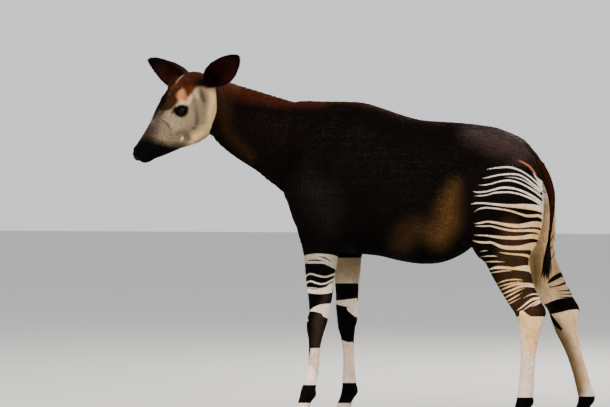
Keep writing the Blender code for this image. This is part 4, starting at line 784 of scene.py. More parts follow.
    def mesh(self):
        """The surface where the field is nought: points and four-sided faces that look out."""
        f = self.value
        inside = f < 0
        n = f.shape
        count = np.zeros((n[0] - 1, n[1] - 1, n[2] - 1), dtype=np.int8)
        for c in CORNERS:
            count += inside[c[0]:n[0] - 1 + c[0], c[1]:n[1] - 1 + c[1], c[2]:n[2] - 1 + c[2]]
        live = (count > 0) & (count < 8)
        cells = np.argwhere(live)
        number = np.full(live.shape, -1, dtype=np.int64)
        number[live] = np.arange(len(cells))
        total = np.zeros((len(cells), 3))
        hits = np.zeros(len(cells))
        for a in CORNERS:
            for axis in range(3):
                if a[axis] == 1:
                    continue
                b = list(a)
                b[axis] = 1
                va = f[cells[:, 0] + a[0], cells[:, 1] + a[1], cells[:, 2] + a[2]]
                vb = f[cells[:, 0] + b[0], cells[:, 1] + b[1], cells[:, 2] + b[2]]
                cross = (va < 0) != (vb < 0)
                t = np.zeros(len(cells))
                t[cross] = va[cross] / (va[cross] - vb[cross])
                spot = np.array(a, float)[None, :] + t[:, None] * (np.array(b) - np.array(a))[None, :]
                total[cross] += spot[cross]
                hits[cross] += 1
        points = self.low + self.cell * (cells + total / hits[:, None])
        return points @ self.axes + self.place, self.faces(inside, number)

    def faces(self, inside, number):
        """The four-sided faces between numbered cells, wherever a line of the grid runs out of the flesh."""
        n = inside.shape
        faces = []
        for axis in range(3):
            b, c = [(1, 2), (2, 0), (0, 1)][axis]
            one = [slice(None)] * 3
            two = [slice(None)] * 3
            one[axis] = slice(0, n[axis] - 1)
            two[axis] = slice(1, n[axis])
            change = inside[tuple(one)] != inside[tuple(two)]
            spots = np.argwhere(change)
            keep = (spots[:, b] > 0) & (spots[:, c] > 0) & (spots[:, b] < n[b] - 1) & (spots[:, c] < n[c] - 1)
            spots = spots[keep]
            leaving = inside[tuple(one)][tuple(spots.T)]
            quad = []
            for db, dc in ((0, 0), (-1, 0), (-1, -1), (0, -1)):
                s = spots.copy()
                s[:, b] += db
                s[:, c] += dc
                quad.append(number[tuple(s.T)])
            quad = np.stack(quad, axis=1)
            quad[~leaving] = quad[~leaving][:, ::-1]
            faces.append(quad)
        return np.vstack(faces)


def shape_body(field):
    """Trunk, neck, limbs and tail."""
    field.slices(TRUNK, TRUNK_POWER, TRUNK_EGG, k=0.03)
    field.sweep(NECK, k=0.09, times=3, side=None)
    for side, fore, hind in ((LEFT, FORE_NEAR, HIND_NEAR), (RIGHT, FORE_FAR, HIND_FAR)):
        fore = on_side(fore, side)
        hind = on_side(hind, side)
        shape_shoulder(field, side, fore)
        shape_haunch(field, side)
        shape_fore_leg(field, side, fore)
        shape_hind_leg(field, hind)
    field.egg(*CLEFT, k=0.02, carve=True)
    field.sweep(TAIL[:3], k=0.03, times=2)
    field.sweep(TAIL[2:], k=0.004, times=2)


def on_side(rows, side):
    """Rows or places of the left half as they lie on one of the sides."""
    return [(r[0], side * r[1]) + tuple(r[2:]) for r in rows]


def shape_shoulder(field, side, leg):
    field.sweep(on_side(BLADE, side), k=0.06, times=2)
    for centre, radii, k in SHOULDER:
        field.egg(on_side([centre], side)[0], radii, k=k)
    x, _, z, _, _ = leg[3]
    field.egg((x + 0.055, 0.126 * side, z + 0.075), (0.036, 0.034, 0.050), k=0.04)


def shape_haunch(field, side):
    for centre, radii, k in HAUNCH:
        field.egg(on_side([centre], side)[0], radii, k=k)
    field.sweep(on_side(FLANK_FOLD, side), k=0.06, times=2)


def shape_fore_leg(field, side, leg):
    field.sweep(leg, k=0.035, times=3)
    x, y, z, _, d = leg[8]
    field.egg((x - d * 0.55, y, z + 0.035), (0.020, 0.027, 0.046), k=0.02)
    field.egg((x + d * 0.85, y + 0.006 * side, z + 0.052), (0.013, 0.013, 0.022), k=0.016)
    field.egg((leg[5][0] - 0.012, y + 0.008 * side, leg[4][2]), (0.036, 0.030, 0.110), k=0.03)
    tendon = [(r[0] + r[4] * 0.62, r[1], r[2], 0.010, 0.010) for r in leg[8:13]]
    field.sweep(tendon, k=0.010, times=2)
    shape_foot(field, leg[-2])


def shape_hind_leg(field, leg):
    field.sweep(leg, k=0.040, times=3)
    hock = leg[9]
    heel = (hock[0] + 0.048, hock[1], hock[2] + 0.020)
    field.egg(heel, (0.022, 0.021, 0.034), k=0.02)
    string = [(heel[0] - 0.004, heel[1], heel[2] + 0.015, 0.013, 0.015)]
    for r in (leg[7], leg[6], leg[5]):
        string.append((r[0] + r[4] - 0.016, r[1], r[2], 0.014, 0.016))
    field.sweep(string, k=0.018, times=2)
    tendon = [(r[0] + r[4] * 0.62, r[1], r[2], 0.011, 0.011) for r in leg[10:15]]
    field.sweep(tendon, k=0.010, times=2)
    for r in (leg[6], leg[7]):
        for s in (-1, 1):
            spot = (r[0] + r[4] * 0.34, r[1] + s * (r[3] + 0.022), r[2])
            field.egg(spot, (0.020, 0.028, 0.045), k=0.02, carve=True)
    shape_foot(field, leg[-2])


def shape_foot(field, fetlock):
    """The fetlock and the two toes down to the hooves."""
    x, y, z = fetlock[:3]
    for s in (-1, 1):
        ty = y + s * CLAW_SPREAD
        field.egg((x + 0.012, y + s * 0.012, z - 0.006), (0.026, 0.018, 0.026), k=0.012)
        toe = [(x - 0.004, y + s * 0.013, z - 0.005, 0.017, 0.028),
               (x - 0.018, ty, z - 0.050, 0.0175, 0.027),
               (x - 0.032, ty, 0.070, 0.0190, 0.033),
               (x - 0.040, ty, 0.030, 0.0190, 0.036)]
        field.sweep(toe, k=0.008, times=2)


def head_axes():
    """The ways forward, left and up of the turned and lowered head."""
    c, s = math.cos(HEAD_DIP), math.sin(HEAD_DIP)
    forward = np.array([c * math.cos(HEAD_TURN), c * math.sin(HEAD_TURN), -s])
    left = np.array([-math.sin(HEAD_TURN), math.cos(HEAD_TURN), 0.0])
    return np.array([forward, left, np.cross(forward, left)])


HEAD_AXES = head_axes()


def in_head(points):
    """Points of the animal in the head's own frame."""
    return (points - np.asarray(HEAD_PLACE)) @ HEAD_AXES.T


def past_cut(points, cut):
    """How far points lie past a cut, along the way that it faces."""
    return (points - np.asarray(cut[0])) @ unit(cut[1])


def mirrored(point, side):
    """A point of the head's left half on one of its sides; the left is +y in its own frame."""
    return (point[0], -side * point[1], point[2])


def shape_head(field):
    """Skull, jaw and face in the head's own frame, with the neck that carries them."""
    field.slices(SKULL, SKULL_POWER, SKULL_EGG, k=0.02)
    for side in SIDES:
        field.sweep([mirrored(r[:3], side) + r[3:] for r in JAW], k=0.022, times=2, own=True)
    for side in SIDES:
        shape_cheek(field, side)
    for side in SIDES:
        shape_eye_rim(field, side)
    shape_muzzle(field)
    field.sweep(NECK, k=0.06, times=3, side=None)


def shape_cheek(field, side):
    """Cheek and brow, and the foot of an ear."""
    for centre, radii, k in CHEEK:
        field.egg(mirrored(centre, side), radii, k=k, own=True)
    root, aim, hollow, _ = ear_frame(side)
    stub = [tuple(root - aim * 0.035) + (0.040, 0.040), tuple(root) + (0.034, 0.034),
            tuple(root + aim * 0.040 + hollow * 0.004) + (0.037, 0.037)]
    field.sweep(stub, k=0.025, own=True, side=(1.0, 0.1, 0.0))


def shape_eye_rim(field, side):
    """The bulge of the lids, the brow over them and the hollow before them."""
    f, l, h = EYE
    for centre, radii, k, carve in (
            ((f, l, h), (EYE_RADIUS + LID_THICK,) * 3, 0.014, False),
            ((f - 0.002, l + 0.008, h + 0.019), (0.030, 0.014, 0.008), 0.012, False),
            ((f + 0.040, l + 0.006, h - 0.014), (0.020, 0.008, 0.010), 0.014, True)):
        field.egg(mirrored(centre, side), radii, k=k, carve=carve, own=True)


def shape_muzzle(field):
    field.egg((0.406, 0.0, 0.034), (0.032, 0.040, 0.032), k=0.018, own=True)
    field.egg((0.386, 0.0, -0.004), (0.030, 0.026, 0.015), k=0.014, own=True)
    for side in SIDES:
        field.egg(mirrored((0.401, 0.026, 0.048), side), (0.026, 0.014, 0.018), k=0.012, own=True)
        for line, groove in ((MOUTH_LINE, MOUTH_GROOVE), (NOSTRIL_LINE, NOSTRIL_SLIT)):
            rows = [mirrored(p, side) + groove for p in line]
            field.sweep(rows, k=0.004, times=3, own=True, carve=True, side=(0.0, 0.0, 1.0))


def ear_frame(side, axes=np.eye(3), place=(0.0, 0.0, 0.0)):
    """An ear's root, its aim, the way its cup opens and the way across, in the head's frame unless told."""
    root = np.asarray(place) + np.array(mirrored(EAR_ROOT, side)) @ axes
    aim = unit(np.array(mirrored(EAR_AIM[side], side)) @ axes)
    hollow = np.array(mirrored(EAR_OPEN[side], side)) @ axes
    hollow = unit(hollow - aim * (hollow @ aim))
    return root, aim, hollow, np.cross(aim, hollow)


EARS = {side: ear_frame(side, HEAD_AXES, HEAD_PLACE) for side in SIDES}


def ear_cup(s):
    """Radius, half angle and height over its root's line of an ear's cup, at shares of its length."""
    share, radius, angle = np.array(EAR_CUP).T
    radius = np.interp(s, share, radius)
    up = np.maximum(s, 0.0)
    off = 0.020 * up ** 2 + radius * 0.45 * np.minimum(1.0, up * 1.6)
    return radius, np.radians(np.interp(s, share, angle)), off


def eye_frame(side):
    """The middle of an eye in the head's frame, and the ways out of it, along its lids and up."""
    out = unit(mirrored(EYE_OUT, side))
    along = unit(mirrored(EYE_ALONG, side))
    along = unit(along - out * (along @ out))
    up = np.cross(out, along)
    return np.array(mirrored(EYE, side)), out, along, up if up[2] > 0 else -up


def eye_in_place(side):
    """The same for the animal as it stands."""
    centre, *ways = eye_frame(side)
    return [np.asarray(HEAD_PLACE) + centre @ HEAD_AXES] + [way @ HEAD_AXES for way in ways]


def to_photo(points):
    """The photo's pixels that points of the animal fall on."""
    eye = np.array(VIEW_FROM)
    ahead = unit(np.array(VIEW_AIM) - eye)
    right = unit(np.cross(ahead, (0.0, 0.0, 1.0)))
    up = np.cross(right, ahead)
    q = points - eye
    scale = PIXELS_A_METRE * VIEW_FAR / (q @ ahead)
    return np.stack([PHOTO_SIZE[0] / 2 + scale * (q @ right), PHOTO_SIZE[1] / 2 - scale * (q @ up)], axis=1)


def ease(t):
    t = np.clip(t, 0.0, 1.0)
    return t * t * (3.0 - 2.0 * t)


def within(pixels, stroke, reach=STROKE_REACH):
    """How deep pixels lie inside a stroke's edge, in pixels, and less than nought outside it."""
    rows = smooth_rows(stroke, 3) if len(stroke) > 2 else np.array(stroke, dtype=float)
    out = np.full(len(pixels), -FAR_OFF)
    low = np.min(rows[:, :2] - rows[:, 2:], axis=0) - reach
    high = np.max(rows[:, :2] + rows[:, 2:], axis=0) + reach
    near = np.nonzero(np.all((pixels > low) & (pixels < high), axis=1))[0]
    if len(near) == 0:
        return out
    p = pixels[near]
    best = np.full(len(p), -FAR_OFF)
    for a, b in zip(rows[:-1], rows[1:]):
        along = b[:2] - a[:2]
        t = np.clip(((p - a[:2]) @ along) / max(along @ along, 1e-9), 0.0, 1.0)
        gap = np.linalg.norm(p - a[:2] - t[:, None] * along, axis=1)
        best = np.maximum(best, a[2] + (b[2] - a[2]) * t - gap)
    out[near] = best
    return out


def pale_over_dark(pixels, pale, dark, start):
    """Pixels inside the pale strokes and outside the dark ones that lie over them."""
    mark = np.full(len(pixels), start)
    for stroke in pale:
        mark = np.maximum(mark, within(pixels, stroke))
    for stroke in dark:
        mark = np.minimum(mark, -within(pixels, stroke))
    return mark


def leg_at(rows, z):
    """A leg's middle, half width and half depth at given heights."""
    rows = np.array(rows)[::-1]
    return [np.interp(z, rows[:, 2], rows[:, i]) for i in (0, 1, 3, 4)]


def leg_marks(points):
    """Marks of the legs in pixels, how far outside points are, and where the photo shows either side."""
    x, y, z = points.T
    left = y < 0
    mark = np.full(len(points), -FAR_OFF)
    outside = np.zeros(len(points))
    seen = np.zeros((2, len(points), 2))
    fore = (FORE_OUTER_PALE, FORE_OUTER_DARK, FORE_INNER_PALE, FORE_INNER_DARK)
    hind = (HIND_OUTER_PALE, HIND_OUTER_DARK, [], HIND_INNER_DARK)
    for near, far, strokes, behind in ((FORE_NEAR, FORE_FAR, fore, False), (HIND_NEAR, HIND_FAR, hind, True)):
        here = np.nonzero((x > HIND_FROM) == behind)[0]
        if len(here) == 0:
            continue
        hx, hy, hz, hl = x[here], y[here], z[here], left[here]
        near_x, near_y, near_w, _ = leg_at(near, hz)
        far_x, _, _, far_d = leg_at(far, hz)
        back = far_x - near_x
        seen[0, here] = to_photo(np.stack([np.where(hl, hx, hx - back), -np.abs(hy), hz], axis=1))
        inner = np.where(hl, hx + back, hx)
        seen[1, here] = to_photo(np.stack([inner, np.abs(hy), hz], axis=1))
        m_out = pale_over_dark(seen[0, here], strokes[0], strokes[1], -FAR_OFF)
        m_in = pale_over_dark(seen[1, here], strokes[2], strokes[3], FAR_OFF if behind else -FAR_OFF)
        reach = np.interp(hz, [0.76, 0.95], [1.35, 0.85]) if behind else 1.6
        past = inner - far_x
        reach = reach * far_d - np.where(behind & (past > 0), 0.0, np.abs(past))
        m_in = np.minimum(m_in, reach * PIXELS_A_METRE)
        if behind:
            m_in = np.minimum(m_in, (INNER_TOP - hz) * PIXELS_A_METRE)
        t = ease(((np.abs(hy) - near_y) / near_w + 0.30) / 0.5)
        t = np.maximum(t, ease((hz - (1.02 if behind else 0.84)) / 0.06))
        mark[here] = m_in + (m_out - m_in) * t
        outside[here] = t
    return mark, outside, seen


def blend_patches(colours, pixels, patches):
    """Colours, changed in place, with soft patches laid over them one after the other."""
    for colour, soft, strength, stroke in patches:
        depth = within(pixels, stroke, reach=3 * soft)
        t = strength * ease(depth / (2 * soft) + 0.5)
        colours += (np.array(colour) - colours) * t[:, None]


def plain(colour, count):
    return np.tile(np.array(colour), (count, 1))


def mix(a, b, t):
    return a + (np.asarray(b) - a) * t[:, None]


def layered(first, layers):
    """Colours or ways with others laid over them, each by its own share."""
    for other, share in layers:
        first = mix(first, other, share)
    return first


def face_pixels(points):
    """Where points of the head fall in the photo, with the right half laid over the left."""
    own = in_head(points)
    in_view = ease((own[:, 1] + 0.055) / 0.02)
    own[:, 1] = np.abs(own[:, 1])
    mirror = to_photo(own @ HEAD_AXES + np.asarray(HEAD_PLACE))
    return own, mirror + (to_photo(points) - mirror) * in_view[:, None]


def on_tail(points, start=1.06, top=1.24):
    """Which points lie on the tail, from a place along the body and under a height."""
    x, y, z = points[..., 0], points[..., 1], points[..., 2]
    return (x > start) & (np.abs(y) < 0.040) & (z > 0.80) & (z < top)


def marks_of(points):
    """How far points lie on the pale side of a marking's edge, in metres, with what leg_marks tells."""
    mark, outside, seen_legs = leg_marks(points)
    face = np.nonzero((points[:, 0] < 0.0) & (points[:, 2] > HEAD_FROM))[0]
    own, seen = face_pixels(points[face])
    past = past_cut(points[face], HEAD_CUT)
    edge = -within(seen, NECK_EDGE, reach=60.0)
    pale = (past > -0.09) & ((own[:, 0] > 0.0) | ((own[:, 0] > -0.13) & (edge < FAR_OFF)))
    mark[face] = np.where(pale, edge, -FAR_OFF)
    mark[on_tail(points)] = -FAR_OFF
    return mark / PIXELS_A_METRE, outside, seen_legs


def dark_colours(points):
    """The coat's colour on the dark side of every edge: trunk, neck and tail."""
    x, y, z = points.T
    on_trunk = ease((x + 0.05) / 0.20)
    flank = points.copy()
    flank[:, 1] = y * (1 - on_trunk) - np.abs(y) * on_trunk
    dark = mix(plain(INK, len(points)), COCOA, 0.5 * ease((z - 0.75) / 0.3))
    blend_patches(dark, to_photo(flank), BODY_PATCHES)
    tail = mix(plain(MAROON, len(points)), INK, ease((1.08 - z) / 0.24))
    return mix(dark, tail, np.where(on_tail(points), 1.0, 0.0))


def pale_colours(points, outside, seen_legs):
    """The coat's colour on the pale side of every edge: legs and face."""
    x, _, z = points.T
    fore = x < HIND_FROM
    pale = layered(plain(MILK, len(points)), (
        (HONEY, np.where(fore, 0.10, 0.6 * ease((1.03 - z) / 0.10) * ease((z - 0.30) / 0.2))),
        (PINK, np.where(fore, 0.75, 0.35) * ease((0.60 - z) / 0.14)),
        # Greyer towards the top of the forelegs: painted shade
        (DUN, np.where(fore, ease((z - 0.62) / 0.12), 0.0)),
        # Beige on the inner sides of the legs, darker towards the top: painted shade between the legs
        (BEIGE_SHADE, (1 - outside) * np.where(fore, 0.65, 0.75) * ease((z - 0.50) / 0.25))))
    # Patches on the hind legs: painted light and shade on the inner sides, warmth and painted shade on the
    # outer sides
    for patches, share, seen in ((LEG_PATCHES, outside, seen_legs[0]),
                                 (INNER_LIGHT_AND_SHADE, 1 - outside, seen_legs[1])):
        warm = pale.copy()
        blend_patches(warm, seen, patches)
        pale = mix(pale, warm, np.where(fore, 0.0, share))
    face = np.nonzero((x < 0.0) & (z > HEAD_FROM))[0]
    skin = plain(FACE, len(face))
    blend_patches(skin, face_pixels(points[face])[1], FACE_PATCHES)
    pale[face] = skin
    return pale


def coat_colours(points):
    """What the coat is at points of the animal: its mark, its dark and its pale colour."""
    mark, outside, seen_legs = marks_of(points)
    return mark, dark_colours(points), pale_colours(points, outside, seen_legs)


def ear_place(points, side):
    """How far along an ear points lie, how far round it and from its core, and the cup's size there."""
    root, aim, hollow, across = EARS[side]
    s = ((points - root) @ aim) / EAR_LENGTH
    radius, spread, off = ear_cup(np.clip(s, -0.1, 1.0))
    q = points - root - hollow * off[:, None]
    a = -(q @ hollow)
    b = q @ across
    close = np.linalg.norm(points - root, axis=1) < 1.25 * EAR_LENGTH
    return s, np.arctan2(b, a), np.hypot(a, b), radius, spread, close


def ear_colours(points, normals, mark, dark):
    """The ears over the head's colours: dark backs, rims and tips, and reddish cups."""
    for side in SIDES:
        _, _, hollow, across = EARS[side]
        s, turn, far, radius, spread, close = ear_place(points, side)
        shell = (s > 0.02) & (s < 1.05) & (far < radius + 0.006) & (far > radius - 0.016)
        bottom = (s > 0.06) & (s < 0.40) & (far < radius)
        w = np.where((shell | bottom) & close, ease((s - 0.02) / 0.08), 0.0)
        way = -hollow * np.cos(turn)[:, None] + across * np.sin(turn)[:, None]
        outward = np.sum(normals * way, axis=1)
        rim = ease(1.0 - (spread - np.abs(turn)) * radius / 0.022)
        back = layered(plain(RED_BROWN, len(points)), (
            (COCOA, ease((s - 0.05) / 0.25)), (INK, ease((s - 0.35) / 0.5))))
        tint = layered(plain(INK, len(points)), (
            (EAR_RED, ease((s - 0.10) / 0.25)), (INK, ease((s - 0.60) / 0.35)),
            (back, ease(outward * 2 + 0.5)), (INK, rim * 0.9)))
        dark[:] = mix(dark, tint, w)
        mark[:] = mark + (-0.05 - mark) * ease((w - 0.2) / 0.3)


def body_depth(world):
    """How deep the skin lies under the solids on body and legs."""
    leg, trunk = COAT["leg"][0], COAT["trunk"][0]
    depth = np.interp(world[..., 2], [0.06, 0.12, 0.60, 0.90], [0.0010, leg, leg, trunk])
    return np.where(on_tail(world, 1.07, 1.22), COAT["tail"][0], depth)


def sink(field, depth):
    """Lowers a field's surface by a depth given for points of the world, slab by slab."""
    n = field.count
    y = field.low[1] + field.cell * np.arange(n[1])
    z = field.low[2] + field.cell * np.arange(n[2])
    for i in range(n[0]):
        p = np.empty((n[1], n[2], 3))
        p[..., 0] = field.low[0] + field.cell * i
        p[..., 1] = y[:, None]
        p[..., 2] = z[None, :]
        field.value[i] += depth(p @ field.axes + field.place).astype(np.float32)


def face_depth(world):
    """The skin's depth on head and neck: it is the body's at the cut and thin on the face."""
    return np.interp(past_cut(world, HEAD_CUT), [0.0, 0.10], [COAT["neck"][0], COAT["head"][0]])


def lid_arc(tall):
    """The radius of a lid's edge that rises so far over the line between the eye's corners."""
    return (LIDS_HALF ** 2 + tall ** 2) / (2 * tall)


def open_eyes(field):
    """The sockets, and lids that part in an almond, rounded at their edges."""
    for side in SIDES:
        centre, out, along, up = eye_frame(side)
        where, p = field.part(centre - 0.05, centre + 0.05)
        q = p - centre
        ball = np.linalg.norm(q, axis=-1) - EYE_RADIUS - 0.0004
        field.lay(where, ball, 0.0006, carve=True)
        deep = q @ out
        wide = 1.0 + np.clip(deep - 0.018, 0.0, 0.03) * 12.0
        a = (q @ along) / wide
        b = (q @ up) / wide
        upper = np.hypot(a, b - LIDS_UP + lid_arc(LIDS_UP)) - lid_arc(LIDS_UP)
        lower = np.hypot(a, b + LIDS_DOWN - lid_arc(LIDS_DOWN)) - lid_arc(LIDS_DOWN)
        gap = np.maximum(np.maximum(upper, lower) * wide, 0.008 - deep)
        field.lay(where, gap, 0.0016, carve=True)


def trim_ear_stubs(field):
    """Leaves only the foot of each ear on the head, hollowed where the cup begins."""
    for side in SIDES:
        root, *ways = ear_frame(side)
        for start in (0.055, 0.120):
            middle = root + ways[0] * (EAR_LENGTH * EAR_CUT + start)
            field.egg(middle, (0.055, 0.075, 0.075), k=0.006, axes=ways, carve=True, own=True)


def ear_ring(spread, middle, thick, up):
    """Angle and radius of the points round one section of an ear: outer side, rim, inner side, rim."""
    ring = []
    for way in (1, -1):
        for j in range(EAR_COLUMNS):
            a = way * spread * (2.0 * j / (EAR_COLUMNS - 1) - 1.0)
            fold = EAR_FOLD * math.sin(7.0 * a + 1.0) * math.sin(math.pi * min(1.0, up)) * up
            ring.append((a, middle + fold + way * thick * 0.5))
        for j in range(1, EAR_RIM + 1):
            c = math.pi * j / (EAR_RIM + 1)
            a = way * (spread + math.sin(c) * thick * 0.5 / middle)
            ring.append((a, middle + way * math.cos(c) * thick * 0.5))
    return ring


def ear_skin(side):
    """An ear's skin: a thin cupped leaf with a rounded rim, closed at both ends."""
    root, aim, hollow, across = EARS[side]
    depth = COAT["ear"][0]
    rings = []
    for i in range(EAR_ROWS + 1):
        s = EAR_BURIED + (EAR_TIP - EAR_BURIED) * i / EAR_ROWS
        radius, spread, off = ear_cup(s)
        up = max(s, 0.0)
        thick = EAR_THICK * (1.0 - 0.45 * up) - 2 * depth
        middle = radius - depth - thick * 0.5
        spread = max(spread - (depth + thick * 0.5) / radius, 0.03)
        core = root + aim * EAR_LENGTH * s + hollow * off
        rings.append([core + (-hollow * math.cos(a) + across * math.sin(a)) * r
                      for a, r in ear_ring(spread, middle, thick, up)])
    n = len(rings[0])
    points = [p for ring in rings for p in ring]
    return points, tube(EAR_ROWS, n) + end_cap(0, n, True) + end_cap(EAR_ROWS * n, n, False)


def tube(rows, n):
    """Faces between rings of n points each, closed round."""
    return [(i * n + j, i * n + (j + 1) % n, (i + 1) * n + (j + 1) % n, (i + 1) * n + j)
            for i in range(rows) for j in range(n)]


def end_cap(start, n, turned):
    """Closes a flattened ring with strips between its outer and inner halves."""
    faces = []
    turn = 2 * EAR_COLUMNS + EAR_RIM + EAR_RIM // 2
    for k in range(n // 2):
        quad = [(turn + k) % n, (turn + k + 1) % n, (turn - k - 1) % n, (turn - k) % n]
        quad = [start + i for i in dict.fromkeys(quad)]
        faces.append(tuple(quad[::-1] if turned else quad))
    return faces


def mesh_object(name, points, faces):
    """An object from points of the animal and its faces, moved to where the solids stand."""
    mesh = bpy.data.meshes.new(name)
    spots = np.asarray(points, dtype=np.float32) + np.asarray(SHIFT, dtype=np.float32)
    if isinstance(faces, np.ndarray):
        count, corners = faces.shape
        mesh.vertices.add(len(spots))
        mesh.vertices.foreach_set("co", spots.ravel())
        mesh.loops.add(count * corners)
        mesh.loops.foreach_set("vertex_index", faces.ravel().astype(np.int32))
        mesh.polygons.add(count)
        mesh.polygons.foreach_set("loop_start", np.arange(0, count * corners, corners, dtype=np.int32))
    else:
        mesh.from_pydata([tuple(p) for p in spots.tolist()], [], faces)
    mesh.update(calc_edges=True)
    mesh.validate()
    mesh.shade_smooth()
    return placed(name, mesh)


def bake_modifiers(item):
    graph = bpy.context.evaluated_depsgraph_get()
    mesh = bpy.data.meshes.new_from_object(item.evaluated_get(graph), depsgraph=graph)
    item.modifiers.clear()
    old = item.data
    item.data = mesh
    bpy.data.meshes.remove(old)
    mesh.name = item.name


def vertex_rows(mesh, key):
    rows = np.zeros(len(mesh.vertices) * 3, dtype=np.float32)
    mesh.vertices.foreach_get(key, rows)
    return rows.reshape(-1, 3).astype(float)


def points_of(mesh):
    """A mesh's points as places on the animal."""
    return vertex_rows(mesh, "co") - np.asarray(SHIFT)


def head_skin():
    """Head and throat with ears, open where the body's skin takes over."""
    field = Field((-0.22, -0.13, -0.16), (0.48, 0.13, 0.24), HEAD_STEP, HEAD_PLACE, HEAD_AXES)
    shape_head(field)
    trim_ear_stubs(field)
    open_eyes(field)
    sink(field, face_depth)
    points, faces = field.mesh()
    item = mesh_object("head_skin", points, faces)
    cut_at_seam(item, 0.0, True)
    ears = mesh_object("ear_skin", *joined([ear_skin(side) for side in SIDES]))
    turn_out(ears)
    mod = item.modifiers.new("ears", "BOOLEAN")
    mod.object = ears
    mod.operation = "UNION"
    mod.solver = "EXACT"
    bake_modifiers(item)
    bpy.data.objects.remove(ears, do_unlink=True)
    return item


def joined(shapes):
    points = []
    faces = []
    for p, f in shapes:
        faces += [tuple(i + len(points) for i in g) for g in f]
        points += [tuple(q) for q in p]
    return points, faces


@contextmanager
def edited(item):
    """A mesh open for changes, and written back after them."""
    mesh = bmesh.new()
    mesh.from_mesh(item.data)
    yield mesh
    mesh.to_mesh(item.data)
    mesh.free()


def turn_out(item):
    with edited(item) as mesh:
        bmesh.ops.recalc_face_normals(mesh, faces=mesh.faces)


def cut_at_seam(item, back, head_side):
    """Cuts a skin square across the throat, and closes the head's for the union with the ears."""
    n = unit(HEAD_CUT[1])
    c = np.asarray(HEAD_CUT[0]) + np.asarray(SHIFT) - n * back
    with edited(item) as mesh:
        bmesh.ops.bisect_plane(mesh, geom=mesh.verts[:] + mesh.edges[:] + mesh.faces[:],
                               plane_co=c, plane_no=n, clear_inner=head_side, clear_outer=not head_side)
        if head_side:
            bmesh.ops.holes_fill(mesh, edges=mesh.edges, sides=0)
            bmesh.ops.recalc_face_normals(mesh, faces=mesh.faces)


def body_skin():
    field = Field((-0.58, -0.33, -0.02), (1.40, 0.33, 1.68), BODY_STEP)
    shape_body(field)
    sink(field, body_depth)
    points, faces = field.mesh()
    item = mesh_object("body_skin", points, faces)
    mod = item.modifiers.new("even", "SMOOTH")
    mod.factor = 0.5
    mod.iterations = 2
    bake_modifiers(item)
    cut_at_seam(item, SEAM, False)
    return item


def one_skin():
    """Body and head joined by a strip of faces across the throat, smoothed there."""
    head = head_skin()
    body = body_skin()
    n = Vector(unit(HEAD_CUT[1]))
    c = Vector(HEAD_CUT[0]) + Vector(SHIFT)
    with edited(body) as mesh:
        mesh.from_mesh(head.data)
        cap = [f for f in mesh.faces if all(abs((v.co - c) @ n) < 1e-5 for v in f.verts)]
        bmesh.ops.delete(mesh, geom=cap, context="FACES_ONLY")
        loose = [v for v in mesh.verts if not v.link_faces]
        bmesh.ops.delete(mesh, geom=loose, context="VERTS")
        rims = [e for e in mesh.edges if e.is_boundary and abs((e.verts[0].co - c) @ n) < 1.5 * SEAM]
        bmesh.ops.bridge_loops(mesh, edges=rims)
        bmesh.ops.triangulate(mesh, faces=mesh.faces)
        belt = [v for v in mesh.verts if abs((v.co - c) @ n) < 4 * SEAM and (v.co - c).length < 0.30]
        for _ in range(12):
            bmesh.ops.smooth_vert(mesh, verts=belt, factor=0.5,
                                  use_axis_x=True, use_axis_y=True, use_axis_z=True)
        bmesh.ops.recalc_face_normals(mesh, faces=mesh.faces)
    bpy.data.objects.remove(head, do_unlink=True)
    body.name = "okapi_skin"
    body.data.name = "okapi_skin"
    body.data.shade_smooth()
    return body


def refine(skin):
    """Smaller faces on the skin where a marking's edge runs."""
    points = points_of(skin.data)
    mark = marks_of(points)[0]
    near = (np.abs(mark) < EDGE_BELT) & (points[:, 2] < 1.2) & (points[:, 2] > 0.1)
    with edited(skin) as mesh:
        mesh.verts.ensure_lookup_table()
        edges = [e for e in mesh.edges if near[e.verts[0].index] and near[e.verts[1].index]]
        bmesh.ops.subdivide_edges(mesh, edges=edges, cuts=1, smooth=0.0)
        bmesh.ops.triangulate(mesh, faces=mesh.faces)
    skin.data.shade_smooth()


def set_colours(mesh, mark, dark, pale):
    for name, colour in (("dark", dark), ("pale", pale)):
        layer = mesh.color_attributes.new(name, "FLOAT_COLOR", "POINT")
        flat = np.ones((len(colour), 4), dtype=np.float32)
        flat[:, :3] = np.clip(colour, 0.0, 1.0)
        layer.data.foreach_set("color", flat.ravel())
    set_value(mesh, "mark", mark)


def set_value(mesh, name, values):
    layer = mesh.attributes.new(name, "FLOAT", "POINT")
    layer.data.foreach_set("value", np.asarray(values, dtype=np.float32))


def feed(tree, made, inputs):
    """Sets a node's inputs to numbers and colours, or links them to what other nodes give."""
    for spot, value in inputs.items():
        if isinstance(value, bpy.types.NodeSocket):
            tree.links.new(value, made.inputs[spot])
        else:
            made.inputs[spot].default_value = value


def node(tree, kind, inputs, **settings):
    made = tree.nodes.new(kind)
    for key, value in settings.items():
        setattr(made, key, value)
    feed(tree, made, inputs)
    return made


def attribute(tree, name, output="Fac"):
    return node(tree, "ShaderNodeAttribute", {}, attribute_name=name).outputs[output]


def noise(tree, place, scale, detail=3.0):
    inputs = {"Scale": scale, "Detail": detail, "Vector": place}
    return node(tree, "ShaderNodeTexNoise", inputs).outputs["Fac"]


def sums(tree, operation, a, b=0.0):
    return node(tree, "ShaderNodeMath", {0: a, 1: b}, operation=operation).outputs[0]


def ramp(tree, value, low, high, to_low, to_high):
    """A soft step of a value from one range of numbers to another."""
    ends = {"Value": value, "From Min": low, "From Max": high, "To Min": to_low, "To Max": to_high}
    return node(tree, "ShaderNodeMapRange", ends, interpolation_type="SMOOTHSTEP").outputs["Result"]


def blend(tree, factor, a, b):
    return node(tree, "ShaderNodeMix", {0: factor, 6: a, 7: b}, data_type="RGBA").outputs[2]


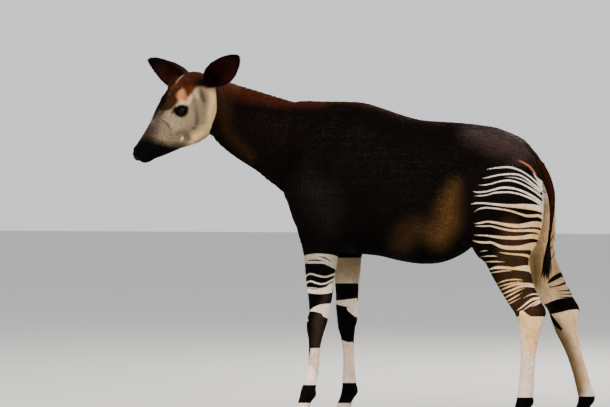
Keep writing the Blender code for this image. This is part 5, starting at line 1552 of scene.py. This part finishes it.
def new_material(name, roughness, sheen=0.0, coat=0.0):
    """A material, its nodes, its shader and the place on the object that its patterns follow."""
    material = bpy.data.materials.new(name)
    material.use_nodes = True
    tree = material.node_tree
    shader = next(n for n in tree.nodes if n.type == "BSDF_PRINCIPLED")
    feed(tree, shader, {"Roughness": roughness, "Specular IOR Level": 0.07, "Sheen Weight": sheen,
                        "Sheen Roughness": 0.35, "Sheen Tint": SHEEN_TINT, "Coat Weight": coat,
                        "Coat Roughness": 0.04})
    return material, tree, shader, node(tree, "ShaderNodeTexCoord", {}).outputs["Object"]


def streaked(name, roughness, scale, dark, light, detail=3.0, sheen=0.0, relief=0.0):
    """A material that wavers between two colours, with bumps as high as its relief."""
    material, tree, shader, place = new_material(name, roughness, sheen=sheen)
    grain = noise(tree, place, scale, detail)
    feed(tree, shader, {"Base Color": blend(tree, grain, dark, light)})
    if relief:
        bump(tree, shader, grain, relief)
    return material


def bump(tree, shader, height, distance):
    made = node(tree, "ShaderNodeBump", {"Strength": 0.5, "Distance": distance, "Height": height})
    feed(tree, shader, {"Normal": made.outputs["Normal"]})


def coat_material(name, tufts):
    """The markings, with an edge that frays as hair does, and streaks of lighter and darker hair."""
    material, tree, shader, place = new_material(name, 0.55, sheen=0.015)
    fray = sums(tree, "SUBTRACT", noise(tree, place, 420.0, 2.0), 0.5)
    fray = sums(tree, "MULTIPLY", fray, FRAY_TUFTS if tufts else FRAY_SKIN)
    side = ramp(tree, sums(tree, "ADD", attribute(tree, "mark"), fray), -EDGE_SOFT, EDGE_SOFT, 0.0, 1.0)
    colour = blend(tree, side, attribute(tree, "dark", "Color"), attribute(tree, "pale", "Color"))
    grain = noise(tree, place, 900.0, 2.0)
    patch = noise(tree, place, 16.0)
    tone = sums(tree, "ADD", sums(tree, "MULTIPLY", grain, 0.6), sums(tree, "MULTIPLY", patch, 0.4))
    light = ramp(tree, tone, 0.25, 0.75, 0.72, 1.24)
    if tufts:
        light = sums(tree, "MULTIPLY", light, attribute(tree, "shade"))
    scaled = node(tree, "ShaderNodeVectorMath", {0: colour, "Scale": light}, operation="SCALE")
    feed(tree, shader, {"Base Color": scaled.outputs[0]})
    bump(tree, shader, grain, 0.0006)
    return material


def wear(item, material):
    item.data.materials.clear()
    item.data.materials.append(material)


def hash_noise(points, size, seed):
    """A smooth random number between -1 and 1 for each point, alike within a size."""
    table = np.random.default_rng(seed).uniform(-1.0, 1.0, HASH_SIZE)
    q = points / size
    base = np.floor(q).astype(np.int64)
    f = q - base
    f = f * f * (3.0 - 2.0 * f)
    total = np.zeros(len(points))
    for corner in CORNERS:
        spot = np.bitwise_xor.reduce((base + corner) * np.array(HASH), axis=1)
        weight = np.prod(np.where(corner, f, 1 - f), axis=1)
        total += weight * table[spot % HASH_SIZE]
    return total


def sample_skin(mesh, count, seed):
    """Points spread over a skin with the normals and triangles they lie on."""
    mesh.calc_loop_triangles()
    n = len(mesh.loop_triangles)
    tri = np.zeros(n * 3, dtype=np.int32)
    mesh.loop_triangles.foreach_get("vertices", tri)
    tri = tri.reshape(-1, 3)
    points = points_of(mesh)
    normals = vertex_rows(mesh, "normal")
    a, b, c = (points[tri[:, i]] for i in range(3))
    area = 0.5 * np.linalg.norm(np.cross(b - a, c - a), axis=1)
    rng = np.random.default_rng(seed)
    ends = np.cumsum(area)
    pick = np.searchsorted(ends, (np.arange(count) + rng.random(count)) / count * ends[-1])
    pick = np.minimum(pick, n - 1)
    u = rng.random(count)
    v = rng.random(count)
    flip = u + v > 1
    u = np.where(flip, 1 - u, u)[:, None]
    v = np.where(flip, 1 - v, v)[:, None]
    w = 1 - u - v
    spot = a[pick] * w + b[pick] * u + c[pick] * v
    way = normals[tri[pick, 0]] * w + normals[tri[pick, 1]] * u + normals[tri[pick, 2]] * v
    way /= np.maximum(np.linalg.norm(way, axis=1), 1e-9)[:, None]
    return spot, way


def thin_out(points, spacing):
    """Which points to keep so that about one stands in each cell as wide as its own spacing."""
    keep = np.zeros(len(points), dtype=bool)
    for size in np.unique(spacing):
        own = np.nonzero(spacing == size)[0]
        cell = np.floor(points[own] / size).astype(np.int64)
        key = (cell[:, 0] * CELL_KEY + cell[:, 1]) * CELL_KEY + cell[:, 2]
        _, first = np.unique(key, return_index=True)
        keep[own[first]] = True
    return keep


def region_of(points):
    """The part of the coat that each root belongs to."""
    x, y, z = points.T
    part = np.full(len(points), "trunk", dtype="<U6")
    part[(past_cut(points, NECK_CUT) > 0) & (x < 0.1)] = "neck"
    part[(x > 0.74) & (z < 1.20)] = "rump"
    part[(past_cut(points, HEAD_CUT) > -0.005) & (x < -0.1) & (z > HEAD_FROM)] = "head"
    for near, far in ((FORE_NEAR, FORE_FAR), (HIND_NEAR, HIND_FAR)):
        near_x, _, _, near_d = leg_at(near, z)
        far_x, _, _, far_d = leg_at(far, z)
        middle = np.where(y < 0, near_x, far_x)
        deep = np.where(y < 0, near_d, far_d)
        leg = (z < 0.86) & (np.abs(x - middle) < 1.5 * deep + 0.02) & (x > -0.1)
        part[leg & (part != "head") & (part != "neck")] = "leg"
    part[on_tail(points)] = "tail"
    for side in SIDES:
        s, _, far, radius, _, close = ear_place(points, side)
        ear = (s > 0.04) & (s < 1.1) & (far < radius + 0.008) & (far > radius - 0.02) & close
        part[ear & (part == "head")] = "ear"
    return part


def lie_of(points, part):
    """Which way the coat lies at each root."""
    x, _, z = points.T
    lie = layered(plain((0.70, 0.0, -0.60), len(points)), (
        ((0.92, 0.0, 0.10), ease((1.05 - z) / 0.25) * ease((0.75 - x) / 0.1) * ease((x - 0.15) / 0.1)),
        ((0.25, 0.0, -0.95), ease((x - 0.85) / 0.12) * ease((1.25 - z) / 0.2)),
        ((0.30, 0.0, -0.90), ease((0.12 - x) / 0.15) * ease((1.35 - z) / 0.15))))
    for name, way in (("neck", (0.62, 0.22, -0.72)), ("leg", (0.05, 0.0, -1.0)), ("tail", (0.10, 0.0, -1.0))):
        lie[part == name] = way
    own = in_head(points)
    back = plain((-1.0, 0.0, -0.15), len(points))
    back[:, 1] = np.sign(own[:, 1]) * 0.25
    for side in SIDES:
        gap = own - np.array(mirrored(EYE, side))
        far = np.linalg.norm(gap, axis=1)
        back += gap / np.maximum(far, 1e-6)[:, None] * (0.9 * np.exp(-(far / 0.05) ** 2))[:, None]
    lie = np.where((part == "head")[:, None], back @ HEAD_AXES, lie)
    for side in SIDES:
        root, aim, _, _ = EARS[side]
        near = (part == "ear") & (np.linalg.norm(points - root - aim * 0.12, axis=1) < 0.22)
        lie[near] = aim
    return lie


def along_skin(way, normals):
    """Ways laid flat against the skin."""
    way = way - normals * np.sum(way * normals, axis=1)[:, None]
    return way / np.maximum(np.linalg.norm(way, axis=1), 1e-6)[:, None]


def grow(name, roots, normals, lie, part, seed):
    """One piece of coat: flat tapered tufts, each with its patch on an unwrap of the skin."""
    rng = np.random.default_rng(seed)
    n = len(roots)
    depth, length, width, _ = np.array([COAT[p] for p in part]).T
    turn = np.stack([hash_noise(roots, TURN_OVER, seed + 1 + i) for i in range(3)], axis=1) * TURN_SHARED
    turn += rng.normal(0.0, TURN_OWN, (n, 3))
    way = along_skin(lie / np.linalg.norm(lie, axis=1)[:, None] + turn, normals)
    across = np.cross(normals, way)
    length = length * rng.uniform(*TUFT_LENGTHS, n)
    width = width * rng.uniform(*TUFT_WIDTHS, n)
    lift = depth * rng.uniform(*TUFT_LIFTS, n)
    spots = np.zeros((n, 7, 3))
    uv = np.zeros((7, 2))
    for k, (along, half, high, ridge) in enumerate(TUFT_RINGS):
        base = roots + way * (length * along)[:, None] + normals * (lift * high)[:, None]
        side = across * (width * half)[:, None]
        top = normals * (width * ridge)[:, None]
        for i, (gap, place) in enumerate(((-side, 0.0), (side, 1.0), (top, 0.5))):
            spots[:, 3 * k + i] = base + gap
            uv[3 * k + i] = (place, along)
    spots[:, 6] = roots + way * length[:, None] + normals * (lift * 0.62)[:, None]
    uv[6] = (0.5, 1.0)
    faces = (np.array(TUFT_FACES)[None] + 7 * np.arange(n)[:, None, None]).reshape(-1, 3)
    item = mesh_object(name, spots.reshape(-1, 3), faces)
    mark, dark, pale = coat_colours(roots)
    marks = [mark] + [marks_of(roots + way * (length * t)[:, None])[0] for t in (0.5, 0.9)]
    for column in marks:
        ear_colours(roots, normals, column, dark)
    marks = np.stack(marks, axis=1)[:, [0, 0, 0, 1, 1, 1, 2]]
    set_colours(item.data, marks.ravel(), np.repeat(dark, 7, axis=0), np.repeat(pale, 7, axis=0))
    shade = rng.uniform(*TUFT_LIGHTS, n)[:, None] * np.array(TUFT_SHADES)
    set_value(item.data, "shade", shade.ravel())
    sheet = unwrap(roots, normals)[:, None, :] + (uv - 0.5) * PATCH
    corner = np.zeros(len(item.data.loops), dtype=np.int32)
    item.data.loops.foreach_get("vertex_index", corner)
    layer = item.data.uv_layers.new(name="OFBake")
    layer.data.foreach_set("uv", sheet.reshape(-1, 2)[corner].astype(np.float32).ravel())
    return item


def unwrap(roots, normals):
    """A place on a flat sheet for each root: six islands, one for each way the skin faces."""
    axis = np.argmax(np.abs(normals), axis=1)
    way = axis * 2 + (normals[np.arange(len(roots)), axis] > 0)
    out = np.zeros((len(roots), 2))
    for island in range(6):
        own = np.nonzero(way == island)[0]
        if len(own) == 0:
            continue
        flat = roots[own][:, [i for i in range(3) if i != island // 2]]
        low = flat.min(axis=0)
        size = np.maximum(flat.max(axis=0) - low, 1e-6)
        column, row = island % 3, island // 3
        out[own] = (np.array((column, row)) + 0.03 + 0.94 * (flat - low) / size) / np.array((3, 2))
    return out


def coat_pieces(spot, part):
    """Which roots go into which piece of the coat, so that no piece grows too large."""
    x, y, _ = spot.T
    sides = (("left", y < 0), ("right", y >= 0))
    leg = part == "leg"
    trunk = (part == "trunk") | (part == "rump")
    pieces = {"coat_neck": part == "neck", "coat_head": part == "head",
              "coat_ears": part == "ear", "coat_tail": part == "tail"}
    for side, here in sides:
        pieces[f"coat_fore_leg_{side}"] = leg & (x < HIND_FROM) & here
        pieces[f"coat_hind_leg_{side}"] = leg & (x >= HIND_FROM) & here
    for word, low, high in (("fore", -math.inf, 0.30), ("mid", 0.30, 0.70), ("rear", 0.70, math.inf)):
        for side, here in sides:
            pieces[f"coat_{word}_{side}"] = trunk & (x >= low) & (x < high) & here
    return pieces


def coat_on(skin):
    """The whole coat, in pieces of limited size."""
    spot, way = sample_skin(skin.data, SAMPLES, SEED)
    part = region_of(spot)
    gap = np.zeros(len(part))
    for name, sizes in COAT.items():
        gap[part == name] = sizes[3]
    face = (part == "head") & (in_head(spot)[:, 0] > 0.30)
    gap = np.where(face, COAT["head"][3] * 0.8, gap)
    keep = thin_out(spot, gap) & clear_of_features(spot) & (spot[:, 2] > COAT_FROM)
    spot, way, part = spot[keep], way[keep], part[keep]
    lie = lie_of(spot, part)
    material = coat_material("coat_tufts", True)
    for seed, (name, chosen) in enumerate(coat_pieces(spot, part).items()):
        item = grow(name, spot[chosen], way[chosen], lie[chosen], part[chosen], 100 + 10 * seed)
        wear(item, material)
        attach(item, "root")


def clear_of_features(points):
    """False inside the eyes' openings, in the nostrils and before the muzzle's end."""
    own = in_head(points)
    left = np.stack([own[:, 0], np.abs(own[:, 1]), own[:, 2]], axis=1)
    clear = own[:, 0] < MUZZLE_END
    for middle, bare in ((EYE, EYE_BARE), (NOSTRIL, NOSTRIL_BARE)):
        clear &= np.linalg.norm(left - np.array(middle), axis=1) > bare
    return clear


def fine_ball(centre, radius, pole, rows=48, columns=64):
    """A ball of rings round a pole, which the pupil is on."""
    p = unit(pole)
    u = unit(np.cross(p, (0.0, 0.0, 1.0)))
    v = np.cross(p, u)
    points = []
    for i in range(rows + 1):
        a = math.pi * i / rows
        for j in range(columns):
            b = 2 * math.pi * j / columns
            way = p * math.cos(a) + math.sin(a) * (u * math.cos(b) + v * math.sin(b))
            points.append(centre + radius * way)
    faces = []
    for i in range(rows):
        for j in range(columns):
            k = (j + 1) % columns
            faces.append((i * columns + j, (i + 1) * columns + j, (i + 1) * columns + k, i * columns + k))
    return points, faces


def span(tree, a, b):
    """How long a way is whose two parts are given."""
    squares = [sums(tree, "MULTIPLY", value, value) for value in (a, b)]
    return sums(tree, "SQRT", sums(tree, "ADD", *squares))


def eye_material():
    """A dark brown iris round a level pupil, under a wet film."""
    material, tree, shader, place = new_material("eye_dark", 0.05, coat=0.22)
    across = attribute(tree, "iris_x")
    tall = attribute(tree, "iris_y")
    iris = blend(tree, noise(tree, place, 700.0), IRIS_DARK, IRIS_LIGHT)
    pupil = ramp(tree, span(tree, across, sums(tree, "MULTIPLY", tall, 1.9)), 0.40, 0.48, 1.0, 0.0)
    white = ramp(tree, span(tree, across, tall), 0.66, 0.74, 0.0, 1.0)
    feed(tree, shader, {"Base Color": blend(tree, white, blend(tree, pupil, iris, PUPIL), EYE_WHITE)})
    return material


def eyes():
    material = eye_material()
    for side, word in SIDES.items():
        centre, out, along, up = eye_in_place(side)
        points, faces = fine_ball(centre, EYE_RADIUS - 0.0002, out)
        item = mesh_object(f"eyeball_{word}", points, faces)
        turn_out(item)
        q = (np.array(points) - centre) / EYE_RADIUS
        set_value(item.data, "iris_x", q @ along)
        set_value(item.data, "iris_y", q @ up)
        wear(item, material)
        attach(item, "root")
        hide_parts(f"eye_{word}")


def horn_material():
    """Dark horn with growth rings that run round the claw, worn paler near the ground."""
    material, tree, shader, place = new_material("hoof_horn", 0.42, coat=0.15)
    apart = node(tree, "ShaderNodeSeparateXYZ", {0: place})
    wobble = sums(tree, "MULTIPLY", noise(tree, place, 30.0, 2.0), 0.02)
    height = sums(tree, "ADD", apart.outputs["Z"], wobble)
    rings = sums(tree, "SINE", sums(tree, "MULTIPLY", height, 1500.0))
    tone = sums(tree, "ADD", sums(tree, "MULTIPLY", rings, 0.12), noise(tree, place, 260.0, 4.0))
    colour = blend(tree, ramp(tree, tone, 0.3, 0.8, 0.0, 1.0), HORN_DARK, HORN_LIGHT)
    worn = ramp(tree, height, 0.006, 0.022, 0.55, 0.0)
    feed(tree, shader, {"Base Color": blend(tree, worn, colour, HORN_WORN)})
    bump(tree, shader, tone, 0.0010)
    return material


def hooves():
    material = horn_material()
    for name in frame["nodes"]:
        if name.startswith("hoof_"):
            wear(frame["nodes"][name], material)


def tail_lock(rng, root, aim, length, width, steps=7):
    """A flat lock of long hair that hangs from a root, and a ring of faces round each step."""
    side = unit(np.cross(aim, rng.normal(0.0, 1.0, 3)))
    droop = np.array((0.0, 0.0, -1.0))
    points = []
    here = np.array(root, dtype=float)
    way = unit(aim)
    for i in range(steps + 1):
        t = i / steps
        half = 0.5 * width * (1.0 - t) ** 0.6 + 0.00025
        thick = 0.35 * half + 0.0001
        out = np.cross(way, side)
        for a, b in ((-1, 0), (0, 1), (1, 0), (0, -1)):
            points.append(here + side * a * half + out * b * thick)
        way = unit(way + droop * 0.10 + rng.normal(0.0, 0.025, 3))
        here = here + way * length / steps
    last = steps * 4
    return points, [(3, 2, 1, 0)] + tube(steps, 4) + [(last, last + 1, last + 2, last + 3)]


def tail_hair():
    """The black tuft: long locks from the last stretch of the tail."""
    rng = np.random.default_rng(SEED + 5)
    tip = np.array(TAIL[-1][:3])
    lead = unit(tip - np.array(TAIL[-2][:3]))
    u = unit(np.cross(lead, (0.0, 1.0, 0.0)))
    v = np.cross(lead, u)
    shapes = []
    for _ in range(TAIL_LOCKS):
        back = rng.uniform(-0.045, 0.006)
        turn = rng.uniform(0.0, 2 * math.pi)
        out = u * math.cos(turn) + v * math.sin(turn)
        root = tip + lead * back + out * rng.uniform(0.001, 0.0075)
        aim = lead + out * rng.uniform(0.02, 0.20)
        length = rng.uniform(0.080, 0.134) + max(0.0, -back) * 0.4
        shapes.append(tail_lock(rng, root, unit(aim), length, rng.uniform(0.0022, 0.0048)))
    item = mesh_object("tail_hair", *joined(shapes))
    turn_out(item)
    wear(item, streaked("tail_hair", 0.42, 500.0, TAIL_BLACK, TAIL_BROWN,
                        detail=2.0, sheen=0.02, relief=0.0008))
    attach(item, "root")
    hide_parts("tail_tuft")


def lashes():
    """Short dark lashes along the upper lids."""
    rng = np.random.default_rng(SEED + 9)
    arc = lid_arc(LIDS_UP)
    shapes = []
    for side in SIDES:
        centre, out, along, up = eye_in_place(side)
        for i in range(LASHES):
            t = -0.9 + 1.8 * (i + rng.uniform(-0.3, 0.3)) / (LASHES - 1)
            a = LIDS_HALF * t
            b = LIDS_UP - arc + math.sqrt(arc ** 2 - a * a)
            deep = math.sqrt((EYE_RADIUS + 0.002) ** 2 - a * a - b * b)
            root = centre + along * a + up * (b + 0.0006) + out * deep
            aim = unit(out * 0.80 + along * t * 0.55 - up * 0.30)
            long = 0.010 * (1.0 - 0.35 * abs(t)) * rng.uniform(0.85, 1.1)
            shapes.append(tail_lock(rng, root, aim, long, 0.0007, steps=4))
    item = mesh_object("lashes", *joined(shapes))
    turn_out(item)
    wear(item, streaked("lash_hair", 0.5, 400.0, LASH_BLACK, LASH_BROWN))
    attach(item, "root")


def placed(name, data):
    """An object made of what it shows, and set in the scene."""
    item = bpy.data.objects.new(name, data)
    bpy.context.scene.collection.objects.link(item)
    return item


def floor():
    """A plain pale floor."""
    mesh = bpy.data.meshes.new("floor")
    mesh.from_pydata([(-40, -40, 0), (40, -40, 0), (40, 40, 0), (-40, 40, 0)], [], [(0, 1, 2, 3)])
    item = placed("floor", mesh)
    wear(item, streaked("floor_pale", 0.85, 3.0, FLOOR_GREY, FLOOR_PALE))


def lights():
    """A bright sky and soft lamps, which look at the middle of the animal."""
    world = bpy.data.worlds.new("studio")
    bpy.context.scene.world = world
    world.use_nodes = True
    feed(world.node_tree, world.node_tree.nodes["Background"], {"Color": SKY, "Strength": 0.75})
    for name, place, size, power in LAMPS:
        light = bpy.data.lights.new(name, "AREA")
        light.shape = "DISK"
        light.size = size
        light.energy = power
        light.color = WARM_LIGHT
        lamp = placed(name, light)
        lamp.location = place
        lamp.rotation_euler = (Vector(LAMPS_AIM) - Vector(place)).to_track_quat("-Z", "Y").to_euler()
    bpy.context.scene.view_settings.look = "AgX - Medium High Contrast"


def camera():
    """A camera where the photo was taken from."""
    lens = bpy.data.cameras.new("photo_view")
    lens.sensor_width = SENSOR_MM
    lens.lens = PIXELS_A_METRE * VIEW_FAR * SENSOR_MM / PHOTO_SIZE[0]
    lens.clip_end = 200.0
    item = placed("photo_view", lens)
    eye = Vector(VIEW_FROM)
    item.location = eye + Vector(SHIFT)
    item.rotation_euler = (Vector(VIEW_AIM) - eye).to_track_quat("-Z", "Y").to_euler()
    bpy.context.scene.camera = item


def dress():
    skin = one_skin()
    refine(skin)
    points = points_of(skin.data)
    normals = vertex_rows(skin.data, "normal")
    mark, dark, pale = coat_colours(points)
    ear_colours(points, normals, mark, dark)
    set_colours(skin.data, mark, dark, pale)
    wear(skin, coat_material("coat_skin", False))
    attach(skin, "root")
    flesh = [name for name in frame["nodes"] if not name.startswith(("hoof", "eye", "tail_tuft"))]
    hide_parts(*flesh)
    coat_on(skin)
    eyes()
    lashes()
    hooves()
    tail_hair()


dress()
floor()
lights()
camera()
